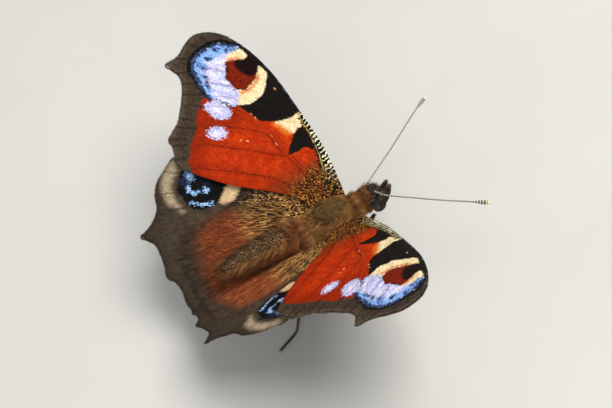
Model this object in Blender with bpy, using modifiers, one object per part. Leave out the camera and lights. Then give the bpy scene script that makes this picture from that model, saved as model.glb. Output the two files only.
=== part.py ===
# Peacock butterfly, life-size still model, wings held half open in a shallow V.
# Row frame: +X to the butterfly's left, -Y towards its head, +Z up, floor at z = 0.
# Sizes below are in millimetres and are turned into metres by MM.
# Body coordinates have their origin at the thorax centre, level with the wing hinges.

import math

import bmesh
import bpy
from mathutils import Matrix, Vector
from mathutils.geometry import delaunay_2d_cdt

MM = 0.001

# Gaps and wall sizes
GAP = 0.3
MEMBRANE = 0.5
FLOOR_DEPTH = 7.0

# Thorax
THORAX_HALF_LENGTH = 4.7
THORAX_HALF_WIDTH = 2.6
THORAX_HALF_HEIGHT = 2.55
THORAX_Z = 0.3
THORAX_FRONT = 4.1
THORAX_REAR = 4.0
SCUTELLUM_Y = 2.9
SCUTELLUM_RISE = 0.22
BACK_GROOVE_Y = 1.9
BACK_GROOVE_DEPTH = 0.16
COLLAR_Y = -3.4
COLLAR_RISE = 0.12

# Head
HEAD_Z = 0.15
EYE_CENTRE = (1.1, -6.05, 0.35)
EYE_RADII = (0.55, 0.9, 0.95)
EYE_SOCKET_RADII = (0.83, 1.2, 1.25)

# Abdomen: distance behind the thorax centre, height of the axis, half-width
ABDOMEN_START = THORAX_REAR + GAP
ABDOMEN_SEGMENTS = 8
ABDOMEN_STATIONS = (
    (ABDOMEN_START, 0.90, 0.95),
    (5.0, 1.10, 1.25),
    (6.2, 1.32, 1.46),
    (8.0, 1.55, 1.56),
    (10.0, 1.70, 1.52),
    (12.0, 1.80, 1.34),
    (13.6, 1.85, 1.00),
    (14.7, 1.85, 0.50),
)
ABDOMEN_RING_STEP = 0.05

# Wings: hinge point on the left side, in body coordinates (x, y, z)
FOREWING_HINGE = (1.5, -2.0, 0.8)
HINDWING_HINGE = (1.5, 1.5, -0.25)

# Vein ridges: height and half-width at the wing's root and at its margin
VEIN_HEIGHT_ROOT = 0.15
VEIN_HEIGHT_EDGE = 0.08
VEIN_HALF_WIDTH_ROOT = 0.34
VEIN_HALF_WIDTH_EDGE = 0.22
VEIN_STEP = 1.1
MEMBRANE_GRID = 2.2

# Feelers, tongue and palps
ANTENNA_SHAFT_RADIUS = 0.25
ANTENNA_CLUB_RADIUS = 0.42
ANTENNA_CLUB_START = 0.84

# Centre lines of the feelers, the left one under 1 and the right one under -1
ANTENNA_ROUTES = {
    1: ((0.65, -6.5, 1.72), (0.85, -6.8, 1.98), (1.77, -8.48, 2.05), (3.69, -12.05, 2.3),
        (5.59, -15.0, 2.3), (7.51, -17.74, 2.0), (8.78, -19.82, 1.7)),
    -1: ((-0.65, -6.5, 1.72), (-0.90, -6.72, 1.98), (-2.52, -7.57, 2.0), (-4.96, -9.85, 2.1),
         (-7.81, -12.69, 2.1), (-9.78, -15.06, 1.9), (-11.56, -17.32, 1.6)),
}
TONGUE_RADIUS = 0.24
TONGUE_COIL_CENTRE = (0.0, -7.5, -2.15)
TONGUE_COIL_OUTER = 0.95
TONGUE_COIL_INNER = 0.32
TONGUE_COIL_START_DEG = 150.0
TONGUE_COIL_TURNS = 1.12

# Legs: radii of femur, tibia and tarsus
FEMUR_RADIUS = 0.42
TIBIA_RADIUS = 0.30
TARSUS_RADIUS = 0.28
SOLE_AXIS_HEIGHT = 0.18
LEG_BEND = 0.9

# Forewing outline as (out from hinge, back from hinge) in the wing's own plane.
# It runs from the costa's root, round the apex and the tooth, to the trailing edge's root.
FOREWING_COSTA = ((2.8, -2.2), (5.4, -2.6), (8.2, -2.85), (13.1, -2.8), (18.9, -2.55),
                  (23.5, -1.6), (26.7, -0.2), (28.5, 1.5), (29.2, 3.6), (28.6, 5.3),
                  (27.7, 6.8))
FOREWING_TOOTH = (27.5, 8.7)
FOREWING_MARGIN = ((26.4, 8.4), (25.3, 8.0), (24.0, 8.3), (22.6, 9.1), (21.1, 10.2),
                   (19.7, 11.4), (18.9, 12.7), (18.2, 13.6), (17.2, 13.6), (16.2, 13.9),
                   (15.0, 14.3), (13.9, 14.0))
FOREWING_TRAILING = ((11.4, 12.1), (8.7, 9.6), (6.4, 6.9), (4.6, 4.9), (2.8, 3.4))
FOREWING_ROOT_BACKS = (2.5, 1.4, 0.2, -0.8, -1.6)

# Hindwing outline, from the costa's root, round the tail and the scallops, to the midline.
HINDWING_COSTA = ((2.8, -1.9), (4.6, -0.9), (7.0, 1.1), (9.5, 3.3), (12.0, 5.6),
                  (14.5, 8.0), (16.1, 9.9), (16.5, 10.9), (15.8, 12.5), (14.7, 14.3),
                  (13.2, 15.4), (11.8, 15.9), (10.9, 16.8), (10.1, 18.1))
HINDWING_TAIL = (9.7, 19.5)
HINDWING_SCALLOPS = ((8.9, 19.0), (7.8, 18.4), (6.4, 18.5), (4.9, 18.8))
HINDWING_SCALLOP_CORNER = (3.5, 19.25)
HINDWING_ANAL = ((2.3, 18.6), (0.8, 18.5), (-0.6, 18.8))
HINDWING_MIDLINE_X = 0.2
HINDWING_MIDLINE_BACKS = (18.5, 15.8, 13.0, 10.2, 7.4, 4.8)
HINDWING_WAIST = ((0.2, 4.55), (1.25, 4.5))
HINDWING_ROOT_YS = (3.7, 3.0, 2.2, 1.2, 0.4)

# Main veins, each from its root outwards, in the wing's own plane
FOREWING_VEINS = (
    ((1.5, -0.6), (6.0, -1.2), (13.0, -1.7), (19.5, -1.5), (24.0, -0.4), (27.9, 2.9)),
    ((1.8, 0.4), (5.1, 1.1), (8.5, 1.8), (13.0, 2.6), (17.5, 4.8), (21.3, 9.4)),
    ((13.4, -1.3), (14.6, 0.6), (13.2, 2.5)),
    ((14.3, -0.2), (19.0, 0.9), (23.0, 3.2), (26.6, 7.6)),
    ((14.5, 0.9), (18.5, 2.4), (21.6, 4.8), (23.8, 7.9)),
    ((12.2, 2.4), (15.2, 5.2), (17.6, 8.9), (19.3, 11.1)),
    ((8.6, 1.9), (11.2, 4.7), (14.4, 8.5), (17.2, 12.9)),
    ((2.0, 1.6), (5.5, 3.9), (8.3, 6.4), (11.6, 10.2), (14.6, 13.5)),
)
HINDWING_VEINS = (
    ((2.6, -0.8), (6.5, 2.2), (11.0, 6.4), (15.4, 10.9)),
    ((2.2, 0.6), (5.4, 3.4), (9.6, 8.0), (12.6, 12.2), (14.1, 14.1)),
    ((6.0, 4.1), (8.6, 9.0), (10.6, 13.6), (11.5, 15.4)),
    ((4.2, 4.6), (6.5, 8.9), (8.0, 14.0), (9.2, 18.0)),
    ((2.0, 2.2), (3.2, 4.2), (4.6, 9.0), (5.4, 14.0), (5.9, 17.9)),
    ((2.9, 4.8), (3.2, 9.0), (3.1, 14.0), (3.3, 18.4)),
    ((0.9, 4.4), (0.9, 9.0), (0.6, 14.0), (0.4, 17.8)),
)

# Hold of each wing, in degrees: rise above level, nose-down pitch and forward sweep
WING_POSES = {
    "forewing_left": {"rise": 26.3, "nose_down": 4.2, "sweep": -1.1},
    "forewing_right": {"rise": 27.4, "nose_down": 4.2, "sweep": 1.1},
    "hindwing_left": {"rise": 29.3, "nose_down": -0.5, "sweep": -0.65},
    "hindwing_right": {"rise": 29.1, "nose_down": -0.5, "sweep": 0.65},
}

# Colour, roughness and metallic value of each finish
FINISHES = {
    "scales_red": ((0.55, 0.07, 0.02), 0.62, 0.0),
    "scales_brown": ((0.14, 0.09, 0.06), 0.68, 0.0),
    "body_hair": ((0.22, 0.12, 0.05), 0.85, 0.0),
    "body_dark": ((0.05, 0.035, 0.025), 0.70, 0.0),
    "eye_dark": ((0.03, 0.022, 0.018), 0.25, 0.0),
    "leg_brown": ((0.07, 0.045, 0.03), 0.55, 0.0),
    "feeler_dark": ((0.06, 0.045, 0.035), 0.50, 0.0),
}


def clear_scene():
    for old in list(bpy.data.objects):
        bpy.data.objects.remove(old, do_unlink=True)
    for old in list(bpy.data.collections):
        bpy.data.collections.remove(old)


def new_collection(name):
    group = bpy.data.collections.new(name)
    bpy.context.scene.collection.children.link(group)
    return group


def make_finish(name):
    colour, roughness, metallic = FINISHES[name]
    material = bpy.data.materials.new(name)
    material.use_nodes = True
    shader = material.node_tree.nodes["Principled BSDF"]
    shader.inputs["Base Color"].default_value = (*colour, 1.0)
    shader.inputs["Roughness"].default_value = roughness
    shader.inputs["Metallic"].default_value = metallic
    return material


def add_object(name, mesh, finish, group):
    shape = bpy.data.objects.new(name, mesh)
    mesh.materials.clear()
    mesh.materials.append(finish)
    group.objects.link(shape)
    return shape


def finish_bmesh(bm, name, finish, group, sharp_deg=40.0):
    bmesh.ops.recalc_face_normals(bm, faces=bm.faces)
    mesh = bpy.data.meshes.new(name)
    bm.to_mesh(mesh)
    bm.free()
    mesh.shade_smooth()
    mesh.set_sharp_from_angle(angle=math.radians(sharp_deg))
    return add_object(name, mesh, finish, group)


# Body of rings: each ring is (centre, half-width, half-height), standing across the Y axis


def ring_body(rings, segments):
    bm = bmesh.new()
    previous = None
    for index, (centre, half_width, half_height) in enumerate(rings):
        place = Matrix.Translation(Vector(centre) * MM) @ Matrix.Rotation(math.radians(90), 4, "X")
        place = place @ Matrix.Diagonal((half_width, half_height, 1.0, 1.0))
        at_end = index in (0, len(rings) - 1)
        ring = bmesh.ops.create_circle(bm, cap_ends=at_end, segments=segments, radius=MM, matrix=place)
        edges = sorted({e for v in ring["verts"] for e in v.link_edges}, key=lambda e: e.index)
        if previous:
            bmesh.ops.bridge_loops(bm, edges=previous + edges)
        previous = edges
    bmesh.ops.triangulate(bm, faces=[f for f in bm.faces if len(f.verts) > 4])
    return bm


def smooth_between(stations, per_span):
    """Catmull-Rom points through the stations, with per_span steps in each span."""
    points = [Vector(s) for s in stations]
    padded = [points[0] * 2 - points[1]] + points + [points[-1] * 2 - points[-2]]
    result = []
    for i in range(1, len(padded) - 2):
        before, start, end, after = padded[i - 1:i + 3]
        for step in range(per_span):
            t = step / per_span
            bend = (before * 2 - start * 5 + end * 4 - after) * t * t
            twist = (start * 3 - before - end * 3 + after) * t * t * t
            result.append((start * 2 + (end - before) * t + bend + twist) * 0.5)
    result.append(points[-1])
    return result


def hump(distance, half_width):
    return math.exp(-((distance / half_width) ** 2))


# Thorax: an egg-shaped trunk cut flat where the neck and the waist meet it


def thorax_scale(y):
    return math.sqrt(1.0 - (y / THORAX_HALF_LENGTH) ** 2)


def thorax_side(y, z):
    """Half-width of the thorax at a height, in millimetres."""
    scale = thorax_scale(y)
    rise = (z - THORAX_Z) / (THORAX_HALF_HEIGHT * scale)
    return THORAX_HALF_WIDTH * scale * math.sqrt(max(0.0, 1.0 - rise * rise))


def thorax_underside(x, y):
    """Point on the underside of the thorax, and its outward direction."""
    scale = thorax_scale(y)
    width = THORAX_HALF_WIDTH * scale
    height = THORAX_HALF_HEIGHT * scale
    drop = height * math.sqrt(1.0 - (x / width) ** 2)
    outward = Vector((x / width ** 2, y / THORAX_HALF_LENGTH ** 2, -drop / height ** 2))
    return Vector((x, y, THORAX_Z - drop)), outward.normalized()


def make_thorax(finish, group):
    steps = 22
    rings = []
    for i in range(steps + 1):
        angle = math.radians(-60.7 + 119.0 * i / steps)
        y = THORAX_HALF_LENGTH * math.sin(angle)
        y = max(-THORAX_FRONT, min(THORAX_REAR, y))
        scale = thorax_scale(y)
        rings.append(((0, y, THORAX_Z), THORAX_HALF_WIDTH * scale, THORAX_HALF_HEIGHT * scale))
    bm = ring_body(rings, 32)
    for vert in bm.verts:
        x, y, z = vert.co / MM
        above = max(0.0, (z - THORAX_Z) / THORAX_HALF_HEIGHT) ** 2
        rise = SCUTELLUM_RISE * hump(y - SCUTELLUM_Y, 0.6) * hump(x, 1.2)
        rise -= BACK_GROOVE_DEPTH * hump(y - BACK_GROOVE_Y, 0.35)
        rise += COLLAR_RISE * hump(y - COLLAR_Y, 0.35)
        vert.co.z += rise * above * MM
    return finish_bmesh(bm, "thorax", finish, group)


# Head: a short neck and a round face, with a cup on each side that holds the eye


def make_head(finish, group, tools):
    sections = ((4.4, 0.75, 0.75), (4.75, 0.88, 0.90), (5.05, 1.18, 1.22), (5.45, 1.36, 1.42),
                (5.95, 1.42, 1.50), (6.4, 1.36, 1.45), (6.85, 1.12, 1.26), (7.2, 0.78, 0.95),
                (7.42, 0.36, 0.48))
    rings = [((0, -ahead, HEAD_Z), width, height) for ahead, width, height in sections]
    bm = ring_body(rings, 28)
    head = finish_bmesh(bm, "head", finish, group)
    for side in (1, -1):
        cutter_bm = bmesh.new()
        place = Matrix.Translation(Vector((EYE_CENTRE[0] * side, *EYE_CENTRE[1:])) * MM)
        place = place @ Matrix.Diagonal((*EYE_SOCKET_RADII, 1.0))
        bmesh.ops.create_uvsphere(cutter_bm, u_segments=20, v_segments=12, radius=MM, matrix=place)
        cutter_mesh = bpy.data.meshes.new("eye_socket")
        cutter_bm.to_mesh(cutter_mesh)
        cutter_bm.free()
        cutter = bpy.data.objects.new("eye_socket_%s" % side_word(side), cutter_mesh)
        tools.objects.link(cutter)
        cutter.hide_render = True
        cutter.display_type = "WIRE"
        cut = head.modifiers.new("socket_%s" % side_word(side), "BOOLEAN")
        cut.object = cutter
        cut.operation = "DIFFERENCE"
        cut.solver = "EXACT"
    return head


def side_word(side):
    return "left" if side > 0 else "right"


def make_eye(side, finish, group):
    bm = bmesh.new()
    place = Matrix.Translation(Vector((EYE_CENTRE[0] * side, *EYE_CENTRE[1:])) * MM)
    place = place @ Matrix.Diagonal((*EYE_RADII, 1.0))
    bmesh.ops.create_uvsphere(bm, u_segments=20, v_segments=12, radius=MM, matrix=place)
    return finish_bmesh(bm, "eye_%s" % side_word(side), finish, group)


# Abdomen: rings along a rising axis, each body segment a little wider at its rear


def make_abdomen(finish, group):
    axis = smooth_between([(s[0], s[1], s[2]) for s in ABDOMEN_STATIONS], 5)
    start, end = ABDOMEN_STATIONS[0][0], ABDOMEN_STATIONS[-1][0]
    rings = []
    for point in axis:
        along = (point.x - start) / (end - start) * ABDOMEN_SEGMENTS
        radius = point.z * (1.0 + ABDOMEN_RING_STEP * (along - math.floor(along) - 0.5))
        rings.append(((0, point.x, point.y), radius, radius))
    bm = ring_body(rings, 24)
    return finish_bmesh(bm, "abdomen", finish, group, 60.0)


# Tubes: a poly curve with a radius at each point


def tube_curve(name, path, radii, bevel_resolution=2):
    curve = bpy.data.curves.new(name, "CURVE")
    curve.dimensions = "3D"
    curve.bevel_depth = MM
    curve.bevel_resolution = bevel_resolution
    curve.use_fill_caps = True
    spline = curve.splines.new("POLY")
    spline.points.add(len(path) - 1)
    for point, place, radius in zip(spline.points, path, radii):
        point.co = (*(Vector(place) * MM), 1.0)
        point.radius = radius
    return curve


def add_tube(name, path, radii, finish, group, bevel_resolution=2):
    curve = tube_curve(name, path, radii, bevel_resolution)
    curve.materials.append(finish)
    shape = bpy.data.objects.new(name, curve)
    group.objects.link(shape)
    return shape


def curve_to_closed_mesh(shape):
    """Turn a tube into a mesh object of the same name with its caps joined on."""
    graph = bpy.context.evaluated_depsgraph_get()
    mesh = bpy.data.meshes.new_from_object(shape.evaluated_get(graph))
    bm = bmesh.new()
    bm.from_mesh(mesh)
    bmesh.ops.remove_doubles(bm, verts=bm.verts, dist=1e-7)
    place = shape.matrix_world.copy()
    bpy.data.objects.remove(shape, do_unlink=True)
    bpy.data.meshes.remove(mesh)
    return bm, place


def make_antenna(side, finish, group):
    path = smooth_between(ANTENNA_ROUTES[side], 4)
    total = len(path) - 1
    radii = []
    for i in range(total + 1):
        t = i / total
        swell = max(0.0, min(1.0, (t - ANTENNA_CLUB_START) / (1.0 - ANTENNA_CLUB_START)))
        club = math.sin(math.pi * min(1.0, swell * 0.85)) if swell > 0 else 0.0
        radii.append(ANTENNA_SHAFT_RADIUS + (ANTENNA_CLUB_RADIUS - ANTENNA_SHAFT_RADIUS) * club)
    radii[-1] = ANTENNA_SHAFT_RADIUS * 0.8
    return add_tube("antenna_%s" % side_word(side), path, radii, finish, group)


def make_palp(side, finish, group):
    route = ((0.74, -6.85, -1.48), (0.72, -7.6, -1.1), (0.62, -8.3, -0.35), (0.5, -8.85, 0.5))
    path = smooth_between([(x * side, y, z) for x, y, z in route], 4)
    total = len(path) - 1
    radii = [0.26 + 0.12 * math.sin(math.pi * i / total) - 0.14 * (i / total) ** 3
             for i in range(total + 1)]
    return add_tube("palp_%s" % side_word(side), path, radii, finish, group)


def make_tongue(finish, group):
    steps = 22
    path = []
    for i in range(steps + 1):
        t = i / steps
        angle = math.radians(TONGUE_COIL_START_DEG) + 2 * math.pi * TONGUE_COIL_TURNS * t
        radius = TONGUE_COIL_OUTER + (TONGUE_COIL_INNER - TONGUE_COIL_OUTER) * t
        path.append((TONGUE_COIL_CENTRE[0],
                     TONGUE_COIL_CENTRE[1] - radius * math.cos(angle),
                     TONGUE_COIL_CENTRE[2] + radius * math.sin(angle)))
    radii = [TONGUE_RADIUS] * steps + [TONGUE_RADIUS * 0.7]
    return add_tube("proboscis", path, radii, finish, group)


# Legs: one rounded path from hip to toe, parted at the knee and at the ankle


def rounded_path(corners, bend):
    """Points along straight runs with a round bend at each inner corner.

    Also gives the index of the middle point of each bend.
    """
    path = [corners[0]]
    marks = []
    for before, corner, after in zip(corners, corners[1:], corners[2:]):
        into = (before - corner).normalized() * min(bend, (before - corner).length * 0.45)
        out = (after - corner).normalized() * min(bend, (after - corner).length * 0.45)
        for t in (0.0, 0.25, 0.5, 0.75, 1.0):
            if t == 0.5:
                marks.append(len(path))
            path.append(corner + into * (1 - t) ** 2 + out * t ** 2)
    path.append(corners[-1])
    return path, marks


def pull_back(path, length):
    """Shorten a path at its start by a length."""
    path = list(path)
    while (path[1] - path[0]).length <= length:
        length -= (path[1] - path[0]).length
        path.pop(0)
    path[0] = path[0] + (path[1] - path[0]).normalized() * length
    return path


def parted(path, first, last):
    """The stretch between two marks, with half a gap taken off at each of them."""
    piece = path[first:last + 1]
    if first > 0:
        piece = pull_back(piece, GAP / 2)
    if last < len(path) - 1:
        piece = pull_back(piece[::-1], GAP / 2)[::-1]
    return piece


LEGS = {
    "midleg": {"hip_x": 1.5, "hip_y": -0.5, "knee": (5.4, -2.2, -1.5),
               "ankle": (8.1, -3.5, -5.2), "foot": (8.9, -3.9), "toe": (11.2, -5.0)},
    "hindleg": {"hip_x": 1.45, "hip_y": 2.1, "knee": (4.9, 5.2, -2.4),
                "ankle": (6.7, 9.4, -5.2), "foot": (7.1, 10.2), "toe": (8.3, 13.2)},
}


def make_leg(kind, side, finish, group):
    sizes = LEGS[kind]
    surface, outward = thorax_underside(sizes["hip_x"], sizes["hip_y"])
    hip = surface + outward * GAP
    sole_z = -FLOOR_DEPTH + SOLE_AXIS_HEIGHT
    corners = [hip, hip + outward * 0.7, Vector(sizes["knee"]), Vector(sizes["ankle"]),
               Vector((*sizes["foot"], sole_z)), Vector((*sizes["toe"], sole_z))]
    path, marks = rounded_path(corners, LEG_BEND)
    knee, ankle = marks[1], marks[2]
    pieces = (("femur", 0, knee, FEMUR_RADIUS, TIBIA_RADIUS),
              ("tibia", knee, ankle, TIBIA_RADIUS, TARSUS_RADIUS),
              ("tarsus", ankle, len(path) - 1, TARSUS_RADIUS, TARSUS_RADIUS))
    for word, first, last, thick, thin in pieces:
        run = parted(path, first, last)
        run = [Vector((p.x * side, p.y, p.z)) for p in run]
        total = len(run) - 1
        radii = [thick + (thin - thick) * i / total for i in range(total + 1)]
        name = "%s_%s_%s" % (kind, side_word(side), word)
        shape = add_tube(name, run, radii, finish, group)
        if word == "tarsus":
            flatten_sole(shape, name, finish, group)


def flatten_sole(shape, name, finish, group):
    """Cut the foot off level with the floor, so that it stands on a flat sole."""
    bpy.context.view_layer.update()
    bm, place = curve_to_closed_mesh(shape)
    everything = bm.verts[:] + bm.edges[:] + bm.faces[:]
    cut = bmesh.ops.bisect_plane(bm, geom=everything, dist=1e-8, clear_outer=True,
                                 plane_co=(0, 0, -FLOOR_DEPTH * MM), plane_no=(0, 0, -1))
    rim = [e for e in cut["geom_cut"] if isinstance(e, bmesh.types.BMEdge)]
    bmesh.ops.holes_fill(bm, edges=rim, sides=0)
    bmesh.ops.triangulate(bm, faces=[f for f in bm.faces if len(f.verts) > 4])
    foot = finish_bmesh(bm, name, finish, group)
    foot.matrix_world = place
    return foot


def make_foreleg(side, finish, group):
    surface, outward = thorax_underside(0.9, -2.9)
    start = surface + outward * GAP
    route = (start, start + outward * 0.45 + Vector((0, -0.3, 0)), Vector((1.25, -4.5, -2.35)),
             Vector((0.95, -5.5, -2.1)))
    path = smooth_between([Vector((p.x * side, p.y, p.z)) for p in route], 4)
    total = len(path) - 1
    radii = [0.30 - 0.06 * i / total for i in range(total + 1)]
    return add_tube("foreleg_%s" % side_word(side), path, radii, finish, group)


# Wings: a flat outline in the wing's own plane, parted into triangles along its veins


def wing_axes(pose):
    """Unit directions outwards, backwards and upwards for a left wing."""
    rise, nose_down = math.radians(pose["rise"]), math.radians(pose["nose_down"])
    out = Vector((math.cos(rise), 0, math.sin(rise)))
    back = Vector((0, math.cos(nose_down), math.sin(nose_down)))
    up = out.cross(back).normalized()
    back = up.cross(out)
    return out, back, up


def wing_place(hinge, pose, side, out_mm, back_mm, height_mm):
    """Body coordinates of a point given in the wing's own plane."""
    sweep = math.radians(pose["sweep"])
    out = out_mm * math.cos(sweep) + back_mm * math.sin(sweep)
    back = back_mm * math.cos(sweep) - out_mm * math.sin(sweep)
    axis_out, axis_back, axis_up = wing_axes(pose)
    point = Vector(hinge) + axis_out * out + axis_back * back + axis_up * height_mm
    return Vector((point.x * side, point.y, point.z))


def forewing_outline(rise_deg):
    """Outline points, with the root following the side of the thorax."""
    rise = math.radians(rise_deg)
    root = []
    for back in FOREWING_ROOT_BACKS:
        side = thorax_side(FOREWING_HINGE[1] + back, FOREWING_HINGE[2] + 0.2) + GAP + 0.1
        root.append(Vector(((side - FOREWING_HINGE[0]) / math.cos(rise), back)))
    front = smooth_between([root[-1], *map(Vector, FOREWING_COSTA), Vector(FOREWING_TOOTH)], 3)
    margin = smooth_between([Vector(FOREWING_TOOTH), *map(Vector, FOREWING_MARGIN)], 3)
    trailing = smooth_between([Vector(FOREWING_MARGIN[-1]), *map(Vector, FOREWING_TRAILING),
                               root[0]], 3)
    return front[:-1] + margin[:-1] + trailing[:-1] + root[:-1]


def hindwing_outline(rise_deg):
    """Outline points, with the inner edge close to the midline and the waist."""
    rise = math.radians(rise_deg)

    def plane(x, y):
        return Vector(((x - HINDWING_HINGE[0]) / math.cos(rise), y - HINDWING_HINGE[1]))

    midline = [plane(HINDWING_MIDLINE_X, back + HINDWING_HINGE[1])
               for back in HINDWING_MIDLINE_BACKS]
    waist = [plane(x, y) for x, y in HINDWING_WAIST]
    root = [plane(thorax_side(y, HINDWING_HINGE[2]) + GAP + 0.1, y) for y in HINDWING_ROOT_YS]
    front = smooth_between([root[-1], *map(Vector, HINDWING_COSTA), Vector(HINDWING_TAIL)], 3)
    scallops = smooth_between([Vector(HINDWING_TAIL), *map(Vector, HINDWING_SCALLOPS),
                               Vector(HINDWING_SCALLOP_CORNER)], 3)
    rear = smooth_between([Vector(HINDWING_SCALLOP_CORNER), *map(Vector, HINDWING_ANAL),
                           midline[0]], 3)
    return front[:-1] + scallops[:-1] + rear[:-1] + midline + waist + root[:-1]


def resample(points, step):
    """Even points along a smooth line through the given ones."""
    fine = smooth_between([Vector(p) for p in points], 12)
    lengths = [0.0]
    for a, b in zip(fine, fine[1:]):
        lengths.append(lengths[-1] + (b - a).length)
    count = max(2, round(lengths[-1] / step))
    result = []
    for i in range(count + 1):
        target = lengths[-1] * i / count
        k = 0
        while k < len(fine) - 2 and lengths[k + 1] < target:
            k += 1
        span = lengths[k + 1] - lengths[k]
        result.append(fine[k].lerp(fine[k + 1], (target - lengths[k]) / span))
    return result


def along_edge(point, a, b):
    """Distance from a point to a straight run, and how far along it the nearest point is."""
    run = b - a
    t = max(0.0, min(1.0, (point - a).dot(run) / run.length_squared))
    return (point - (a + run * t)).length, t


def vein_size(span_share):
    """Ridge height and half-width at a share of the way from the root to the margin."""
    share = max(0.0, min(1.0, span_share))
    height = VEIN_HEIGHT_ROOT + (VEIN_HEIGHT_EDGE - VEIN_HEIGHT_ROOT) * share
    half_width = VEIN_HALF_WIDTH_ROOT + (VEIN_HALF_WIDTH_EDGE - VEIN_HALF_WIDTH_ROOT) * share
    return height, half_width


def ridge_height(point, veins, reach):
    """Height of the vein ridges above the membrane at a point of the wing's plane."""
    best = 0.0
    height, half_width = vein_size(point.length / reach)
    for crest in veins:
        last = len(crest) - 2
        for i, (a, b) in enumerate(zip(crest, crest[1:])):
            distance, t = along_edge(point, a, b)
            share = 1.0 - distance / half_width
            if i == 0:
                share *= t
            if i == last:
                share *= 1.0 - t
            best = max(best, share * height)
    return best


def inside(point, outline):
    crossing = False
    for a, b in zip(outline, outline[1:] + outline[:1]):
        if (a.y > point.y) != (b.y > point.y):
            if point.x < a.x + (point.y - a.y) * (b.x - a.x) / (b.y - a.y):
                crossing = not crossing
    return crossing


def clearance(point, lines):
    return min(along_edge(point, a, b)[0] for line in lines for a, b in zip(line, line[1:]))


def make_wing(kind, side, hinge, outline_maker, vein_routes, finish, group):
    name = "%s_%s" % (kind, side_word(side))
    pose = WING_POSES[name]
    outline = outline_maker(pose["rise"])
    veins = [resample(route, VEIN_STEP) for route in vein_routes]
    reach = max(p.length for p in outline)
    points = list(outline)
    edges = []
    for crest in veins:
        for offset in (-1, 0, 1):
            first = len(points)
            for i, p in enumerate(crest):
                a, b = crest[max(0, i - 1)], crest[min(len(crest) - 1, i + 1)]
                across = Vector((-(b - a).y, (b - a).x)).normalized()
                half_width = vein_size(p.length / reach)[1]
                if offset != 0 and i in (0, len(crest) - 1):
                    continue
                points.append(p + across * half_width * offset)
            edges += [(k, k + 1) for k in range(first, len(points) - 1)]
    loop = outline + outline[:1]
    lines = veins + [loop]
    rows = int(reach / MEMBRANE_GRID) + 2
    for i in range(-2, rows):
        for j in range(-rows, rows):
            p = Vector((i * MEMBRANE_GRID, (j + 0.5 * (i % 2)) * MEMBRANE_GRID))
            if inside(p, outline) and clearance(p, lines) > 0.45 * MEMBRANE_GRID:
                points.append(p)
    keep = len(outline)
    cut = delaunay_2d_cdt(points, edges, [list(range(keep))], 1, 1e-5)
    verts = [wing_place(hinge, pose, side, p.x, p.y, ridge_height(p, veins, reach)) * MM
             for p in cut[0]]
    mesh = bpy.data.meshes.new(name)
    faces = [list(face) if side > 0 else list(face)[::-1] for face in cut[2]]
    mesh.from_pydata([tuple(v) for v in verts], [], faces)
    bm = bmesh.new()
    bm.from_mesh(mesh)
    bpy.data.meshes.remove(mesh)
    loose = [v for v in bm.verts if not v.link_faces]
    bmesh.ops.delete(bm, geom=loose, context="VERTS")
    wing = finish_bmesh(bm, name, finish, group, 60.0)
    wall = wing.modifiers.new("membrane", "SOLIDIFY")
    wall.thickness = MEMBRANE * MM
    wall.offset = 0.0
    return wing


def stand_on_floor(group, frame):
    """Set the whole part down with its box centred over the origin and its soles at z = 0."""
    bpy.context.view_layer.update()
    graph = bpy.context.evaluated_depsgraph_get()
    low_y, high_y = math.inf, -math.inf
    low_x, high_x = math.inf, -math.inf
    for shape in group.objects:
        if shape.type == "EMPTY":
            continue
        mesh = shape.evaluated_get(graph).to_mesh()
        for vert in mesh.vertices:
            place = shape.matrix_world @ vert.co
            low_x, high_x = min(low_x, place.x), max(high_x, place.x)
            low_y, high_y = min(low_y, place.y), max(high_y, place.y)
        shape.evaluated_get(graph).to_mesh_clear()
    frame.location = (-(low_x + high_x) / 2, -(low_y + high_y) / 2, FLOOR_DEPTH * MM)


def main():
    clear_scene()
    butterfly = new_collection("peacock_butterfly")
    tools = new_collection("cutters")
    finish = {name: make_finish(name) for name in FINISHES}

    make_thorax(finish["body_hair"], butterfly)
    make_head(finish["body_dark"], butterfly, tools)
    make_abdomen(finish["body_hair"], butterfly)
    make_tongue(finish["feeler_dark"], butterfly)
    for side in (1, -1):
        make_eye(side, finish["eye_dark"], butterfly)
        make_antenna(side, finish["feeler_dark"], butterfly)
        make_palp(side, finish["body_dark"], butterfly)
        make_foreleg(side, finish["leg_brown"], butterfly)
        for kind in LEGS:
            make_leg(kind, side, finish["leg_brown"], butterfly)
        make_wing("forewing", side, FOREWING_HINGE, forewing_outline, FOREWING_VEINS,
                  finish["scales_red"], butterfly)
        make_wing("hindwing", side, HINDWING_HINGE, hindwing_outline, HINDWING_VEINS,
                  finish["scales_brown"], butterfly)

    frame = bpy.data.objects.new("body_frame", None)
    butterfly.objects.link(frame)
    stand_on_floor(butterfly, frame)
    for shape in list(butterfly.objects) + list(tools.objects):
        if shape is not frame:
            shape.parent = frame


main()
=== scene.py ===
"""Peacock butterfly, life size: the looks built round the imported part.

Body coordinates are in millimetres from the thorax centre at the height of the wing hinges:
x to the butterfly's left, y towards its rear and z up. Wing coordinates are in millimetres
from the wing's hinge: out along the wing, back across it, and height above its plane.
"""

from __future__ import annotations

import logging
import math
from collections.abc import Callable, Sequence
from dataclasses import dataclass, field
from enum import Enum

import bmesh
import bpy
import numpy as np
from mathutils import Matrix, Vector


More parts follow.
